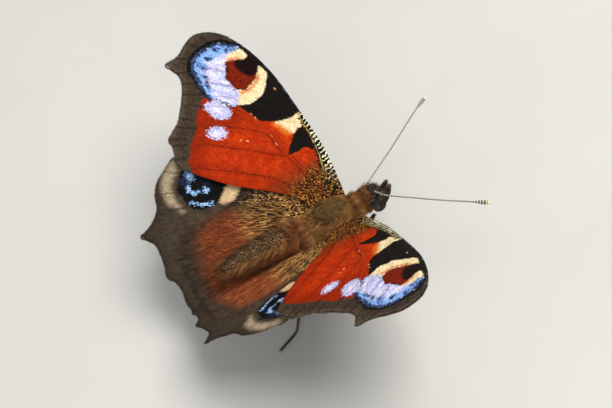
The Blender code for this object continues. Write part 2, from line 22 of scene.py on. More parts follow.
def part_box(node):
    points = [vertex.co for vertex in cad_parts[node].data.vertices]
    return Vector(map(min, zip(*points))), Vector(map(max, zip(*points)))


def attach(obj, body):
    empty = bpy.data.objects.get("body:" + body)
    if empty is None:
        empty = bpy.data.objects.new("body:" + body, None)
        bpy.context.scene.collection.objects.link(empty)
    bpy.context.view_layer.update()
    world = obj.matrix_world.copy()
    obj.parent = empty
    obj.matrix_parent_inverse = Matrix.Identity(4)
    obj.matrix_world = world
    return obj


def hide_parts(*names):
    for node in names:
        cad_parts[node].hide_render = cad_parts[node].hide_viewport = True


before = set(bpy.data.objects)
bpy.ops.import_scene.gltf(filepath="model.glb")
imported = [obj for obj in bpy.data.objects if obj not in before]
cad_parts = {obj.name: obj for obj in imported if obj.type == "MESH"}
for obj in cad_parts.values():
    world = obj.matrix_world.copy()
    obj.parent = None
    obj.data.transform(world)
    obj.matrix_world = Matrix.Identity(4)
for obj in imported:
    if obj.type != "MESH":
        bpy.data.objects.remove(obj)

LOG = logging.getLogger("butterfly")
MM = 0.001
BODY = "root"
BAKE_MAP = "OFBake"
BAKE_PATCH = 0.003

Colour = tuple[float, float, float, float]
Point = tuple[float, ...]
Socket = bpy.types.NodeSocket
Material = bpy.types.Material
Mesh = bpy.types.Mesh
Place = Callable[[np.ndarray], np.ndarray]


class Side(Enum):
    """Left or right, as the sign of x in body coordinates."""

    LEFT = 1
    RIGHT = -1

    @property
    def word(self) -> str:
        """The side's name as the nodes spell it."""
        return self.name.lower()


class Grain(Enum):
    """What a painted surface is made of."""

    SCALES = "scales"
    STRANDS = "strands"


def srgb(red: int, green: int, blue: int) -> Colour:
    """Turn a display colour into the linear colour that a shader takes.

    Args:
        red: Red from 0 to 255.
        green: Green from 0 to 255.
        blue: Blue from 0 to 255.

    Returns:
        The linear colour with full opacity.
    """
    linear = []
    for channel in (red, green, blue):
        share = channel / 255.0
        linear.append(share / 12.92 if share <= 0.04045 else ((share + 0.055) / 1.055) ** 2.4)
    return (*linear, 1.0)


# Lines and areas


def smooth_line(points: Sequence[Point], per_span: int, closed: bool = False) -> np.ndarray:
    """Draw a smooth line through the given points.

    Args:
        points: The points to pass through.
        per_span: Steps between one point and the next.
        closed: Whether the line comes back to its first point.

    Returns:
        The points of the line, one in each row.
    """
    given = np.asarray(points, float)
    if closed:
        padded = np.vstack([given[-1:], given, given[:2]])
    else:
        padded = np.vstack([2 * given[0] - given[1], given, 2 * given[-1] - given[-2]])
    share = np.arange(per_span)[:, None] / per_span
    spans = []
    for i in range(1, len(padded) - 2):
        before, start, end, after = padded[i - 1:i + 3]
        bend = (2 * before - 5 * start + 4 * end - after) * share ** 2
        twist = (3 * start - before - 3 * end + after) * share ** 3
        spans.append((2 * start + (end - before) * share + bend + twist) / 2)
    if not closed:
        spans.append(given[-1:])
    return np.vstack(spans)


def run_along(line: np.ndarray) -> np.ndarray:
    """The way along a line from its start to each of its points."""
    steps = np.linalg.norm(np.diff(line, axis=0), axis=1)
    return np.concatenate([[0.0], np.cumsum(steps)])


def points_on(line: np.ndarray, share: np.ndarray) -> np.ndarray:
    """Find places on a line.

    Args:
        line: The line's points.
        share: How far along each place lies, from 0 to 1.

    Returns:
        The places, one in each row.
    """
    along = run_along(line)
    return np.column_stack([np.interp(share, along / along[-1], column) for column in line.T])


def distance_to_line(at: np.ndarray, line: np.ndarray) -> tuple[np.ndarray, np.ndarray]:
    """Measure how far places lie from a line.

    Args:
        at: The places, one in each row.
        line: The points of the line, one in each row.

    Returns:
        The distance of each place, and the share of the line where its nearest point is.
    """
    lengths = np.linalg.norm(np.diff(line, axis=0), axis=1)
    total = max(lengths.sum(), 1e-9)
    starts = np.concatenate([[0.0], np.cumsum(lengths)[:-1]])
    best = np.full(len(at), np.inf)
    share = np.zeros(len(at))
    for i, (a, b) in enumerate(zip(line[:-1], line[1:])):
        run = b - a
        t = np.clip((at - a) @ run / max(run @ run, 1e-12), 0.0, 1.0)
        away = np.linalg.norm(at - a - t[:, None] * run, axis=1)
        nearer = away < best
        best[nearer] = away[nearer]
        share[nearer] = (starts[i] + t[nearer] * lengths[i]) / total
    return best, share


def inside_border(at: np.ndarray, border: np.ndarray) -> np.ndarray:
    """Tell which places lie inside a closed border.

    Args:
        at: The places, one in each row, of which the first two numbers count.
        border: The points of the border, one in each row.

    Returns:
        True for each place inside.
    """
    within = np.zeros(len(at), bool)
    x, y = at[:, 0], at[:, 1]
    for a, b in zip(border, np.roll(border, -1, axis=0)):
        if a[1] == b[1]:
            continue
        crosses = (a[1] > y) != (b[1] > y)
        within ^= crosses & (x < a[0] + (y - a[1]) * (b[0] - a[0]) / (b[1] - a[1]))
    return within


@dataclass(frozen=True)
class Patch:
    """A closed area whose border is smoothed through the given points."""

    border: tuple[Point, ...]
    per_span: int = 4

    def depth(self, at: np.ndarray) -> np.ndarray:
        """Measure how deep places lie in the area.

        Args:
            at: The places, one in each row.

        Returns:
            The distance to the border, negative outside.
        """
        border = smooth_line(self.border, self.per_span, closed=True)
        away, _ = distance_to_line(at[:, :2], np.vstack([border, border[:1]]))
        return np.where(inside_border(at, border), away, -away)


@dataclass(frozen=True)
class Stroke:
    """A drawn line that may narrow from its start to its end."""

    route: tuple[Point, ...]
    width: float
    end_width: float | None = None

    def depth(self, at: np.ndarray) -> np.ndarray:
        """Measure how deep places lie in the stroke.

        Args:
            at: The places, one in each row.

        Returns:
            The distance to the stroke's edge, negative outside.
        """
        away, share = distance_to_line(at[:, :2], smooth_line(self.route, 5))
        end = self.width if self.end_width is None else self.end_width
        return (self.width + (end - self.width) * share) / 2 - away


@dataclass(frozen=True)
class Spot:
    """A round or oval area in a plane, or an egg-shaped one in space."""

    centre: Point
    radii: Point
    turn_deg: float = 0.0

    def depth(self, at: np.ndarray) -> np.ndarray:
        """Measure how deep places lie in the spot.

        Args:
            at: The places, one in each row.

        Returns:
            About the distance to the spot's edge, negative outside.
        """
        offset = at[:, :len(self.centre)] - np.asarray(self.centre)
        turn = math.radians(self.turn_deg)
        along = offset[:, 0] * math.cos(turn) + offset[:, 1] * math.sin(turn)
        across = offset[:, 1] * math.cos(turn) - offset[:, 0] * math.sin(turn)
        offset = np.column_stack([along, across, offset[:, 2:]])
        reach = np.linalg.norm(offset / np.asarray(self.radii), axis=1)
        return (1.0 - reach) * min(self.radii)


@dataclass(frozen=True)
class Paint:
    """One marking: its shapes, its two mixed colours and the softness of its edge."""

    name: str
    colour: Colour
    other: Colour
    shapes: tuple[Patch | Stroke | Spot, ...]
    soft: float = 0.06
    ragged: float = 1.0
    cover: float = 1.0
    flecks: float = 0.0
    zebra: float = 0.0
    blotch: float = 0.0

    def depth(self, at: np.ndarray) -> np.ndarray:
        """The greatest depth that any of the shapes has at each place."""
        return np.max([shape.depth(at) for shape in self.shapes], axis=0)


def lay_paints(mesh: Mesh, paints: Sequence[Paint], at: np.ndarray,
               repeat: int = 1) -> None:
    """Write each marking's depth on a mesh, for its material to read.

    Args:
        mesh: The mesh that is painted.
        paints: The markings.
        at: The places where the markings are measured, one in each row.
        repeat: How many points of the mesh share each place.
    """
    for paint in paints:
        depth = np.repeat(paint.depth(at), repeat).astype(np.float32)
        layer = mesh.attributes.new(paint.name, "FLOAT", "POINT")
        layer.data.foreach_set("value", depth)


def lay_vectors(mesh: Mesh, name: str, vectors: np.ndarray) -> None:
    """Write a vector on each point of a mesh under a name."""
    layer = mesh.attributes.new(name, "FLOAT_VECTOR", "POINT")
    layer.data.foreach_set("vector", np.ascontiguousarray(vectors, np.float32).ravel())


# Materials


class Graph:
    """A material's nodes, with short calls for the kinds used here."""

    def __init__(self, name: str) -> None:
        """Start a material of this name with its own shader."""
        self.material = bpy.data.materials.new(name)
        self.material.use_nodes = True
        self.tree = self.material.node_tree
        self.shader = self.tree.nodes["Principled BSDF"]

    def node(self, kind: str, **settings: object) -> bpy.types.Node:
        """Add a node.

        Args:
            kind: The node's type.
            **settings: The node's own settings.

        Returns:
            The new node.
        """
        made = self.tree.nodes.new(kind)
        for key, value in settings.items():
            setattr(made, key, value)
        return made

    def feed(self, socket: Socket, value: object) -> None:
        """Link a socket to another one, or set its value.

        Args:
            socket: The input that is fed.
            value: The output to link it to, or its new value.
        """
        if isinstance(value, Socket):
            self.tree.links.new(value, socket)
        else:
            socket.default_value = value

    def fill(self, made: bpy.types.Node, **inputs: object) -> None:
        """Feed a node's inputs by name."""
        for name, value in inputs.items():
            self.feed(made.inputs[name], value)

    def attribute(self, name: str, output: str = "Fac") -> Socket:
        """Read what is written on the mesh under a name."""
        return self.node("ShaderNodeAttribute", attribute_name=name).outputs[output]

    def places(self) -> Socket:
        """Read the place on the object, in metres."""
        return self.node("ShaderNodeTexCoord").outputs["Object"]

    def maths(self, operation: str, *values: object) -> Socket:
        """Work out one number from others.

        Args:
            operation: What is done with the numbers.
            *values: The numbers or outputs that it is done with.

        Returns:
            The result.
        """
        made = self.node("ShaderNodeMath", operation=operation)
        for socket, value in zip(made.inputs, values):
            self.feed(socket, value)
        return made.outputs[0]

    def times(self, first: object, second: object) -> Socket:
        """One number times another."""
        return self.maths("MULTIPLY", first, second)

    def plus(self, first: object, second: object) -> Socket:
        """One number plus another."""
        return self.maths("ADD", first, second)

    def parts(self, vector: Socket) -> list[Socket]:
        """Take a vector apart.

        Args:
            vector: The vector.

        Returns:
            Its three numbers.
        """
        made = self.node("ShaderNodeSeparateXYZ")
        self.feed(made.inputs[0], vector)
        return list(made.outputs)

    def scaled(self, vector: Socket, scale: Point, turn_deg: float = 0.0) -> Socket:
        """Turn a vector about z and then stretch it.

        Args:
            vector: The vector.
            scale: How much it is stretched along each axis.
            turn_deg: The angle of the turn.

        Returns:
            The new vector.
        """
        turned = self.node("ShaderNodeVectorRotate", rotation_type="Z_AXIS")
        self.fill(turned, Vector=vector, Angle=math.radians(turn_deg))
        made = self.node("ShaderNodeMapping")
        self.fill(made, Vector=turned.outputs[0], Scale=scale)
        return made.outputs[0]

    def blend(self, factor: object, first: object, second: object) -> Socket:
        """Mix two colours.

        Args:
            factor: The share of the second colour.
            first: The first colour.
            second: The second colour.

        Returns:
            The mixed colour.
        """
        made = self.node("ShaderNodeMix", data_type="RGBA")
        for index, value in ((0, factor), (6, first), (7, second)):
            self.feed(made.inputs[index], value)
        return made.outputs[2]

    def remap(self, value: object, low: float, high: float, to_low: float = 0.0,
              to_high: float = 1.0) -> Socket:
        """Turn a range of numbers smoothly into another range.

        Args:
            value: The number.
            low: Where the first range starts.
            high: Where it ends.
            to_low: Where the new range starts.
            to_high: Where it ends.

        Returns:
            The number in the new range.
        """
        made = self.node("ShaderNodeMapRange", interpolation_type="SMOOTHSTEP")
        for socket, setting in zip(made.inputs, (value, low, high, to_low, to_high)):
            self.feed(socket, setting)
        return made.outputs[0]

    def noise(self, vector: Socket, scale: float, detail: float = 3.0,
              roughness: float = 0.55) -> Socket:
        """Cloudy noise.

        Args:
            vector: The place.
            scale: Clouds in one unit of length.
            detail: How many finer layers it has.
            roughness: How strong they are.

        Returns:
            A number from 0 to 1.
        """
        made = self.node("ShaderNodeTexNoise")
        self.fill(made, Vector=vector, Scale=scale, Detail=detail, Roughness=roughness)
        return made.outputs["Fac"]

    def cells(self, vector: Socket, scale: float = 1.0, randomness: float = 0.7,
              flat: bool = True) -> bpy.types.Node:
        """A random pattern of cells.

        Args:
            vector: The place.
            scale: Cells in one unit of length.
            randomness: How far it is from an even grid.
            flat: Whether only the first two numbers of the place count.

        Returns:
            The node, with each cell's distance, colour and position.
        """
        made = self.node("ShaderNodeTexVoronoi", voronoi_dimensions="2D" if flat else "3D")
        self.fill(made, Vector=vector, Scale=scale, Randomness=randomness)
        return made

    def bump(self, height: Socket, depth_mm: float, strength: float = 1.0) -> None:
        """Raise the shader's surface by a pattern.

        Args:
            height: The pattern, as a share of the depth.
            depth_mm: Its real depth.
            strength: How much of it shows.
        """
        made = self.node("ShaderNodeBump")
        self.fill(made, Strength=strength, Distance=depth_mm * MM, Height=height)
        self.feed(self.shader.inputs["Normal"], made.outputs[0])

    def cover(self, colour: object, roughness: object = None, **gloss: float) -> None:
        """Give the shader its colour and gloss.

        Args:
            colour: Its base colour.
            roughness: Its roughness, where a pattern changes it.
            **gloss: Its other values, such as sheen_weight, by name.
        """
        self.feed(self.shader.inputs["Base Color"], colour)
        if roughness is not None:
            self.feed(self.shader.inputs["Roughness"], roughness)
        for key, value in gloss.items():
            name = key.replace("_", " ").title().replace("Ior", "IOR")
            self.shader.inputs[name].default_value = value


@dataclass(frozen=True)
class PaintedFinish:
    """A painted surface of scales or strands, marked by what is written on its mesh."""

    name: str
    base: Colour
    other: Colour
    paints: tuple[Paint, ...]
    grain: Grain = Grain.SCALES
    lie_deg: float = 0.0
    scale_length: float = 0.2
    scale_width: float = 0.11
    sheen: float = 0.0
    roughness: float = 0.66
    streaks: float = 0.1
    # painted light: lifts the strands' colour by this factor to make up for the shade that the tufts
    # cast on one another
    gain: float = 1.0
    clumps: float = 0.35
    ripples: float = 0.0
    edge_jitter: float = 0.14
    streak_stretch: Point = (0.25, 4.5, 1.0)
    blotch_stretch: Point = (1.1, 3.0, 1.0)
    shade_range: float = 0.2
    root_light: float = 0.84
    tip_light: float = 1.2
    bar_waver: float = 0.95
    bar_slant: float = 0.2
    bar_edge: Point = (0.28, 0.52)
    ripple_waver: float = 1.6
    ripple_turns: float = 15.0
    grain_depth_mm: float = 0.02

    def random_three(self, graph: Graph, place: Socket) -> tuple[list[Socket], Socket | None]:
        """Three random numbers that are the same over one scale or strand.

        Args:
            graph: The material's nodes.
            place: The place on the surface in millimetres.

        Returns:
            The three numbers, and the height of the grain or None.
        """
        if self.grain is Grain.STRANDS:
            return graph.parts(graph.attribute("strand", "Vector")), None
        size = (1 / self.scale_length, 1 / self.scale_width, 1.0)
        spread = graph.scaled(place, size, self.lie_deg)
        cell = graph.cells(spread)
        offset = graph.node("ShaderNodeVectorMath", operation="SUBTRACT")
        graph.feed(offset.inputs[0], spread)
        graph.feed(offset.inputs[1], cell.outputs["Position"])
        tilt = graph.parts(offset.outputs[0])[0]
        dome = graph.times(cell.outputs["Distance"], -0.8)
        return graph.parts(cell.outputs["Color"]), graph.plus(tilt, dome)

    def stripes(self, graph: Graph, place: Socket, period: float) -> Socket:
        """Slanted bars across the wing's front edge.

        Args:
            graph: The material's nodes.
            place: The place on the wing in millimetres.
            period: Distance from one bar to the next.

        Returns:
            A share from 0 to 1 that is high in the bars.
        """
        out, back, _ = graph.parts(place)
        waver = graph.times(graph.noise(place, 1.9), self.bar_waver)
        slant = graph.plus(out, graph.times(back, self.bar_slant))
        phase = graph.times(graph.plus(slant, waver), 2 * math.pi / period)
        return graph.remap(graph.maths("SINE", phase), *self.bar_edge)

    def marked(self, graph: Graph, place: Socket, chance: Socket, fleck: Socket) -> Socket:
        """Lay the markings over the ground colour.

        Args:
            graph: The material's nodes.
            place: The place on the surface in millimetres.
            chance: A random number of each scale or strand, which mixes a marking's colours.
            fleck: Another one, which chooses the scales or strands of a flecked marking.

        Returns:
            The colour.
        """
        jitter = graph.times(graph.maths("SUBTRACT", chance, 0.5), self.edge_jitter)
        spread = graph.scaled(place, self.blotch_stretch, self.lie_deg)
        patchy = graph.maths("SUBTRACT", graph.noise(spread, 1.0, 4.0, 0.7), 0.5)
        tone = graph.remap(graph.noise(place, 0.9, 4.0), 0.3, 0.7)
        colour = graph.blend(tone, self.base, self.other)
        for paint in self.paints:
            edge = graph.plus(graph.attribute(paint.name), graph.times(jitter, paint.ragged))
            if paint.blotch > 0:
                edge = graph.plus(edge, graph.times(patchy, paint.blotch))
            mask = graph.remap(edge, -paint.soft, paint.soft, 0.0, paint.cover)
            if paint.flecks > 0:
                mask = graph.times(mask, graph.maths("LESS_THAN", fleck, paint.flecks))
            if paint.flecks < 0:
                mask = graph.times(mask, graph.maths("GREATER_THAN", fleck, 1.0 + paint.flecks))
            if paint.zebra > 0:
                mask = graph.times(mask, self.stripes(graph, place, paint.zebra))
            colour = graph.blend(mask, colour, graph.blend(chance, paint.colour, paint.other))
        return colour

    def light(self, graph: Graph, place: Socket, shade: Socket) -> Socket:
        """Work out how light the surface is beside its plain colour.

        Args:
            graph: The material's nodes.
            place: The place on the surface in millimetres.
            shade: A random number of each scale or strand.

        Returns:
            The number that the colour is multiplied by.
        """
        lie = graph.scaled(place, self.streak_stretch, self.lie_deg)
        light = graph.remap(graph.noise(lie, 1.0), 0.3, 0.7, 1.0 - self.streaks, 1.0 + self.streaks)
        light = graph.times(light, graph.remap(shade, 0.0, 1.0, 1.0 - self.shade_range,
                                               1.0 + self.shade_range))
        if self.grain is Grain.STRANDS:
            # strands darker at the root and lighter at the tip, all lifted by the painted-light gain
            light = graph.times(light, graph.remap(graph.attribute("along"), 0.0, 1.0,
                                                   self.root_light * self.gain,
                                                   self.tip_light * self.gain))
            clump = graph.noise(place, 3.4, 2.0, 0.6)
            light = graph.times(light, graph.remap(clump, 0.36, 0.64, 1.0 - self.clumps,
                                                   1.0 + self.clumps))
        if self.ripples > 0:
            out = graph.parts(graph.scaled(place, (1.0, 1.0, 1.0), self.lie_deg))[0]
            warped = graph.plus(out, graph.times(graph.noise(place, 1.3), self.ripple_waver))
            wave = graph.maths("SINE", graph.times(warped, self.ripple_turns))
            light = graph.times(light, graph.remap(wave, -1.0, 1.0, 1.0 - self.ripples,
                                                   1.0 + self.ripples))
        return light

    def make(self) -> Material:
        """Build the material.

        Returns:
            The finished material.
        """
        graph = Graph(self.name)
        place = graph.attribute("place", "Vector")
        (chance, fleck, shade), height = self.random_three(graph, place)
        lit = graph.node("ShaderNodeVectorMath", operation="SCALE")
        graph.feed(lit.inputs[0], self.marked(graph, place, chance, fleck))
        graph.feed(lit.inputs["Scale"], self.light(graph, place, shade))
        rough = graph.remap(shade, 0.0, 1.0, self.roughness - 0.08, self.roughness + 0.08)
        graph.cover(lit.outputs[0], rough, sheen_weight=self.sheen, sheen_roughness=0.45,
                    specular_ior_level=0.05)
        if height is not None:
            graph.bump(height, self.grain_depth_mm, 0.6)
        return graph.material


@dataclass(frozen=True)
class HornFinish:
    """Dark horn of legs, feelers and tongue, with pale rings where they are asked for."""

    name: str
    colour: Colour
    other: Colour
    ring: Colour = srgb(150, 140, 122)
    ring_period: float = 0.0
    tip: Colour | None = None
    tip_start: float = 1.0
    roughness: float = 0.42
    bump_mm: float = 0.012
    ring_edge: float = 0.7
    ring_groove: float = 0.8
    tip_blend: float = 0.015

    def make(self) -> Material:
        """Build the material.

        Returns:
            The finished material.
        """
        graph = Graph(self.name)
        place = graph.attribute("place", "Vector")
        distance, share, _ = graph.parts(graph.attribute("course", "Vector"))
        cloud = graph.noise(place, 3.0, 4.0)
        colour = graph.blend(graph.remap(cloud, 0.35, 0.65), self.colour, self.other)
        fine = graph.noise(graph.scaled(place, (9.0, 9.0, 9.0)), 1.0, 2.0)
        height = fine
        if self.ring_period > 0:
            wave = graph.maths("COSINE", graph.times(distance, 2 * math.pi / self.ring_period))
            colour = graph.blend(graph.remap(wave, 0.0, self.ring_edge), colour, self.ring)
            height = graph.plus(height, graph.times(wave, -self.ring_groove))
        if self.tip is not None:
            near = graph.remap(share, self.tip_start, self.tip_start + self.tip_blend)
            colour = graph.blend(near, colour, self.tip)
        rough = graph.remap(fine, 0.3, 0.7, self.roughness - 0.08, self.roughness + 0.1)
        graph.cover(colour, rough, specular_ior_level=0.4, sheen_weight=0.1)
        graph.bump(height, self.bump_mm)
        return graph.material


@dataclass(frozen=True)
class EyeFinish:
    """A compound eye: dark brown, with fine facets under a low gloss."""

    name: str = "compound_eye"
    dark: Colour = srgb(22, 16, 14)
    pale: Colour = srgb(48, 38, 35)
    rim: Colour = srgb(12, 9, 8)
    facet_mm: float = 0.034

    def make(self) -> Material:
        """Build the material.

        Returns:
            The finished material.
        """
        graph = Graph(self.name)
        place = graph.attribute("place", "Vector")
        cell = graph.cells(place, 1 / self.facet_mm, 0.25, flat=False)
        cloud = graph.noise(place, 1.8, 3.0)
        colour = graph.blend(graph.remap(cloud, 0.35, 0.68), self.dark, self.pale)
        rim = graph.remap(cell.outputs["Distance"], 0.3, 0.6)
        graph.cover(graph.blend(rim, colour, self.rim), roughness=0.46, specular_ior_level=0.2)
        graph.bump(graph.times(cell.outputs["Distance"], -1.0), 0.02)
        return graph.material


@dataclass(frozen=True)
class FloorFinish:
    """Plain pale paper for the floor."""

    name: str = "pale_floor"
    colour: Colour = srgb(226, 224, 218)
    other: Colour = srgb(220, 218, 212)

    def make(self) -> Material:
        """Build the material.

        Returns:
            The finished material.
        """
        graph = Graph(self.name)
        cloud = graph.noise(graph.places(), 18.0, 5.0)
        colour = graph.blend(graph.remap(cloud, 0.3, 0.7), self.colour, self.other)
        graph.cover(colour, roughness=0.85, specular_ior_level=0.2)
        return graph.material


# Frames and pieces


@dataclass(frozen=True)
class BodyFrame:
    """Turns body coordinates in millimetres into places in the row frame in metres."""

    thorax_front: float = 4.1
    thorax_bottom: float = 2.25

    def origin(self) -> np.ndarray:
        """Find the thorax centre at hinge level.

        Returns:
            Its place in the row frame, in metres.
        """
        low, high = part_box("thorax")
        return np.array([(low.x + high.x) / 2, low.y + self.thorax_front * MM,
                         low.z + self.thorax_bottom * MM])

    def place(self, at: np.ndarray) -> np.ndarray:
        """Row-frame places of body coordinates, one in each row."""
        return self.origin() + np.asarray(at) * MM

    def mirrored(self, at: np.ndarray) -> np.ndarray:
        """Row-frame places of body coordinates with left and right changed."""
        return self.place(np.asarray(at) * (-1.0, 1.0, 1.0))

    def placer(self, side: Side) -> Place:
        """The way to place what is drawn for the left side on either side."""
        return self.place if side is Side.LEFT else self.mirrored


BODY_FRAME = BodyFrame()


def add_piece(name: str, mesh: Mesh, materials: Sequence[Material],
              replaced: Sequence[str] = ()) -> bpy.types.Object:
    """Put a finished mesh in the scene as a piece of the butterfly.

    Args:
        name: The piece's name.
        mesh: Its mesh, already in the row frame.
        materials: Its materials in the order of its material slots.
        replaced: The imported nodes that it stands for.

    Returns:
        The new object.
    """
    piece = bpy.data.objects.new(name, mesh)
    for material in materials:
        mesh.materials.append(material)
    bpy.context.scene.collection.objects.link(piece)
    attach(piece, BODY)
    if replaced:
        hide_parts(*replaced)
    LOG.info("%s: %d faces", name, len(mesh.polygons))
    return piece


def mesh_points(mesh: Mesh) -> np.ndarray:
    """Read a mesh's points.

    Args:
        mesh: The mesh.

    Returns:
        Its points, one in each row.
    """
    flat = np.zeros(len(mesh.vertices) * 3, np.float32)
    mesh.vertices.foreach_get("co", flat)
    return flat.reshape(-1, 3).astype(float)


def set_points(mesh: Mesh, at: np.ndarray) -> None:
    """Move a mesh's points to the given places."""
    mesh.vertices.foreach_set("co", np.ascontiguousarray(at, np.float32).ravel())
    mesh.update()


def settle(mesh: Mesh, side: Side) -> None:
    """Move what is drawn for the left side, in body millimetres, to its side in the row frame.

    Args:
        mesh: The mesh.
        side: The side that it belongs to.
    """
    set_points(mesh, BODY_FRAME.placer(side)(mesh_points(mesh)))
    if side is Side.RIGHT:
        mesh.flip_normals()


def bm_to_mesh(bm: bmesh.types.BMesh, name: str, sharp_deg: float = 60.0) -> Mesh:
    """Close a bmesh into a smooth-shaded mesh with its normals outwards.

    Args:
        bm: The bmesh, which is freed.
        name: The mesh's name.
        sharp_deg: The angle from which an edge looks sharp.

    Returns:
        The mesh.
    """
    bmesh.ops.recalc_face_normals(bm, faces=bm.faces)
    mesh = bpy.data.meshes.new(name)
    bm.to_mesh(mesh)
    bm.free()
    mesh.shade_smooth()
    mesh.set_sharp_from_angle(angle=math.radians(sharp_deg))
    return mesh


def bridge_rings(bm: bmesh.types.BMesh, places: Sequence[Matrix], segments: int) -> None:
    """Join circles one after the other into a skin with closed ends.

    Args:
        bm: The bmesh that the skin is added to.
        places: How each circle, of radius 1, is placed.
        segments: The sides of each circle.
    """
    previous = None
    for i, place in enumerate(places):
        at_end = i in (0, len(places) - 1)
        ring = bmesh.ops.create_circle(bm, cap_ends=at_end, segments=segments, radius=1.0,
                                       matrix=place)
        edges = list({e for v in ring["verts"] for e in v.link_edges})
        if previous:
            bmesh.ops.bridge_loops(bm, edges=previous + edges)
        previous = edges


def loft_tube(path: np.ndarray, radii: np.ndarray, segments: int,
              bm: bmesh.types.BMesh | None = None) -> bmesh.types.BMesh:
    """Run a round tube along a path, with its ends closed.

    Args:
        path: The points of the centre line in millimetres.
        radii: The radius at each point, or a half-width and a half-height in each row.
        segments: The sides of the tube.
        bm: A bmesh that the tube is added to, if any.

    Returns:
        The bmesh with the tube in it.
    """
    bm = bm or bmesh.new()
    sizes = np.asarray(radii, float)
    sizes = sizes if sizes.ndim == 2 else np.column_stack([sizes, sizes])
    places = []
    for i, point in enumerate(path):
        ahead = Vector(path[min(i + 1, len(path) - 1)] - path[max(i - 1, 0)]).normalized()
        side = ahead.cross(Vector((0.0, 0.0, 1.0)))
        side = side.normalized() if side.length > 1e-4 else Vector((1.0, 0.0, 0.0))
        above = side.cross(ahead)
        turn = Matrix((side, above, ahead)).transposed().to_4x4()
        flat = Matrix.Diagonal((*sizes[i], 1.0, 1.0))
        places.append(Matrix.Translation(Vector(point)) @ turn @ flat)
    bridge_rings(bm, places, segments)
    return bm


def write_course(mesh: Mesh, path: np.ndarray) -> None:
    """Write on each point its own place and how far along a path it lies.

    Args:
        mesh: A mesh whose points are still in body millimetres.
        path: The path's points.
    """
    at = mesh_points(mesh)
    _, share = distance_to_line(at, path)
    lay_vectors(mesh, "place", at)
    lay_vectors(mesh, "course", np.column_stack([share * run_along(path)[-1], share, share * 0]))


def tube_piece(name: str, path: np.ndarray, radii: np.ndarray, segments: int, side: Side,
               material: Material, node: str) -> None:
    """Make a piece that is one round tube.

    Args:
        name: The piece's name.
        path: The points of its centre line, as on the left side.
        radii: Its radius at each point.
        segments: The sides of the tube.
        side: The side of the body that it belongs to.
        material: Its finish.
        node: The node that it replaces.
    """
    mesh = bm_to_mesh(loft_tube(path, radii, segments), name)
    write_course(mesh, path)
    settle(mesh, side)
    add_piece(name, mesh, [material], [node])


# Coats of hair and scales


@dataclass
class Tufts:
    """Where a coat's tufts grow and how they lie: one row for each tuft, in millimetres."""

    root: np.ndarray
    lie: np.ndarray
    normal: np.ndarray
    length: np.ndarray
    width: np.ndarray
    rise_deg: np.ndarray
    droop_deg: np.ndarray
    unwrap: np.ndarray
    colour_at: np.ndarray

    def only(self, keep: np.ndarray) -> Tufts:
        """The tufts whose row in keep is True."""
        return Tufts(*(getattr(self, name)[keep] for name in self.__dataclass_fields__))


def unit(vectors: np.ndarray) -> np.ndarray:
    """Vectors of length one, one in each row."""
    return vectors / np.maximum(np.linalg.norm(vectors, axis=1, keepdims=True), 1e-9)


def tuft_shape() -> tuple[np.ndarray, list[list[int]]]:
    """Make the one small tapered lock that every tuft repeats.

    Returns:
        Its points, as two numbers across and a share along, and its faces.
    """
    bm = bmesh.new()
    upright = Matrix.Translation((0.0, 0.0, 0.5))
    bmesh.ops.create_cone(bm, cap_ends=True, segments=3, radius1=0.5, radius2=0.0, depth=1.0,
                          matrix=upright)
    everything = bm.verts[:] + bm.edges[:] + bm.faces[:]
    bmesh.ops.bisect_plane(bm, geom=everything, dist=1e-5, plane_co=(0, 0, 0.45),
                           plane_no=(0, 0, 1))
    bmesh.ops.remove_doubles(bm, verts=bm.verts, dist=1e-4)
    bmesh.ops.recalc_face_normals(bm, faces=bm.faces)
    for vert in bm.verts:
        if 0.1 < vert.co.z < 0.9:
            vert.co.x *= 1.75
            vert.co.y *= 1.75
    points = np.array([tuple(v.co) for v in bm.verts])
    faces = [[v.index for v in face.verts] for face in bm.faces]
    bm.free()
    return points, faces


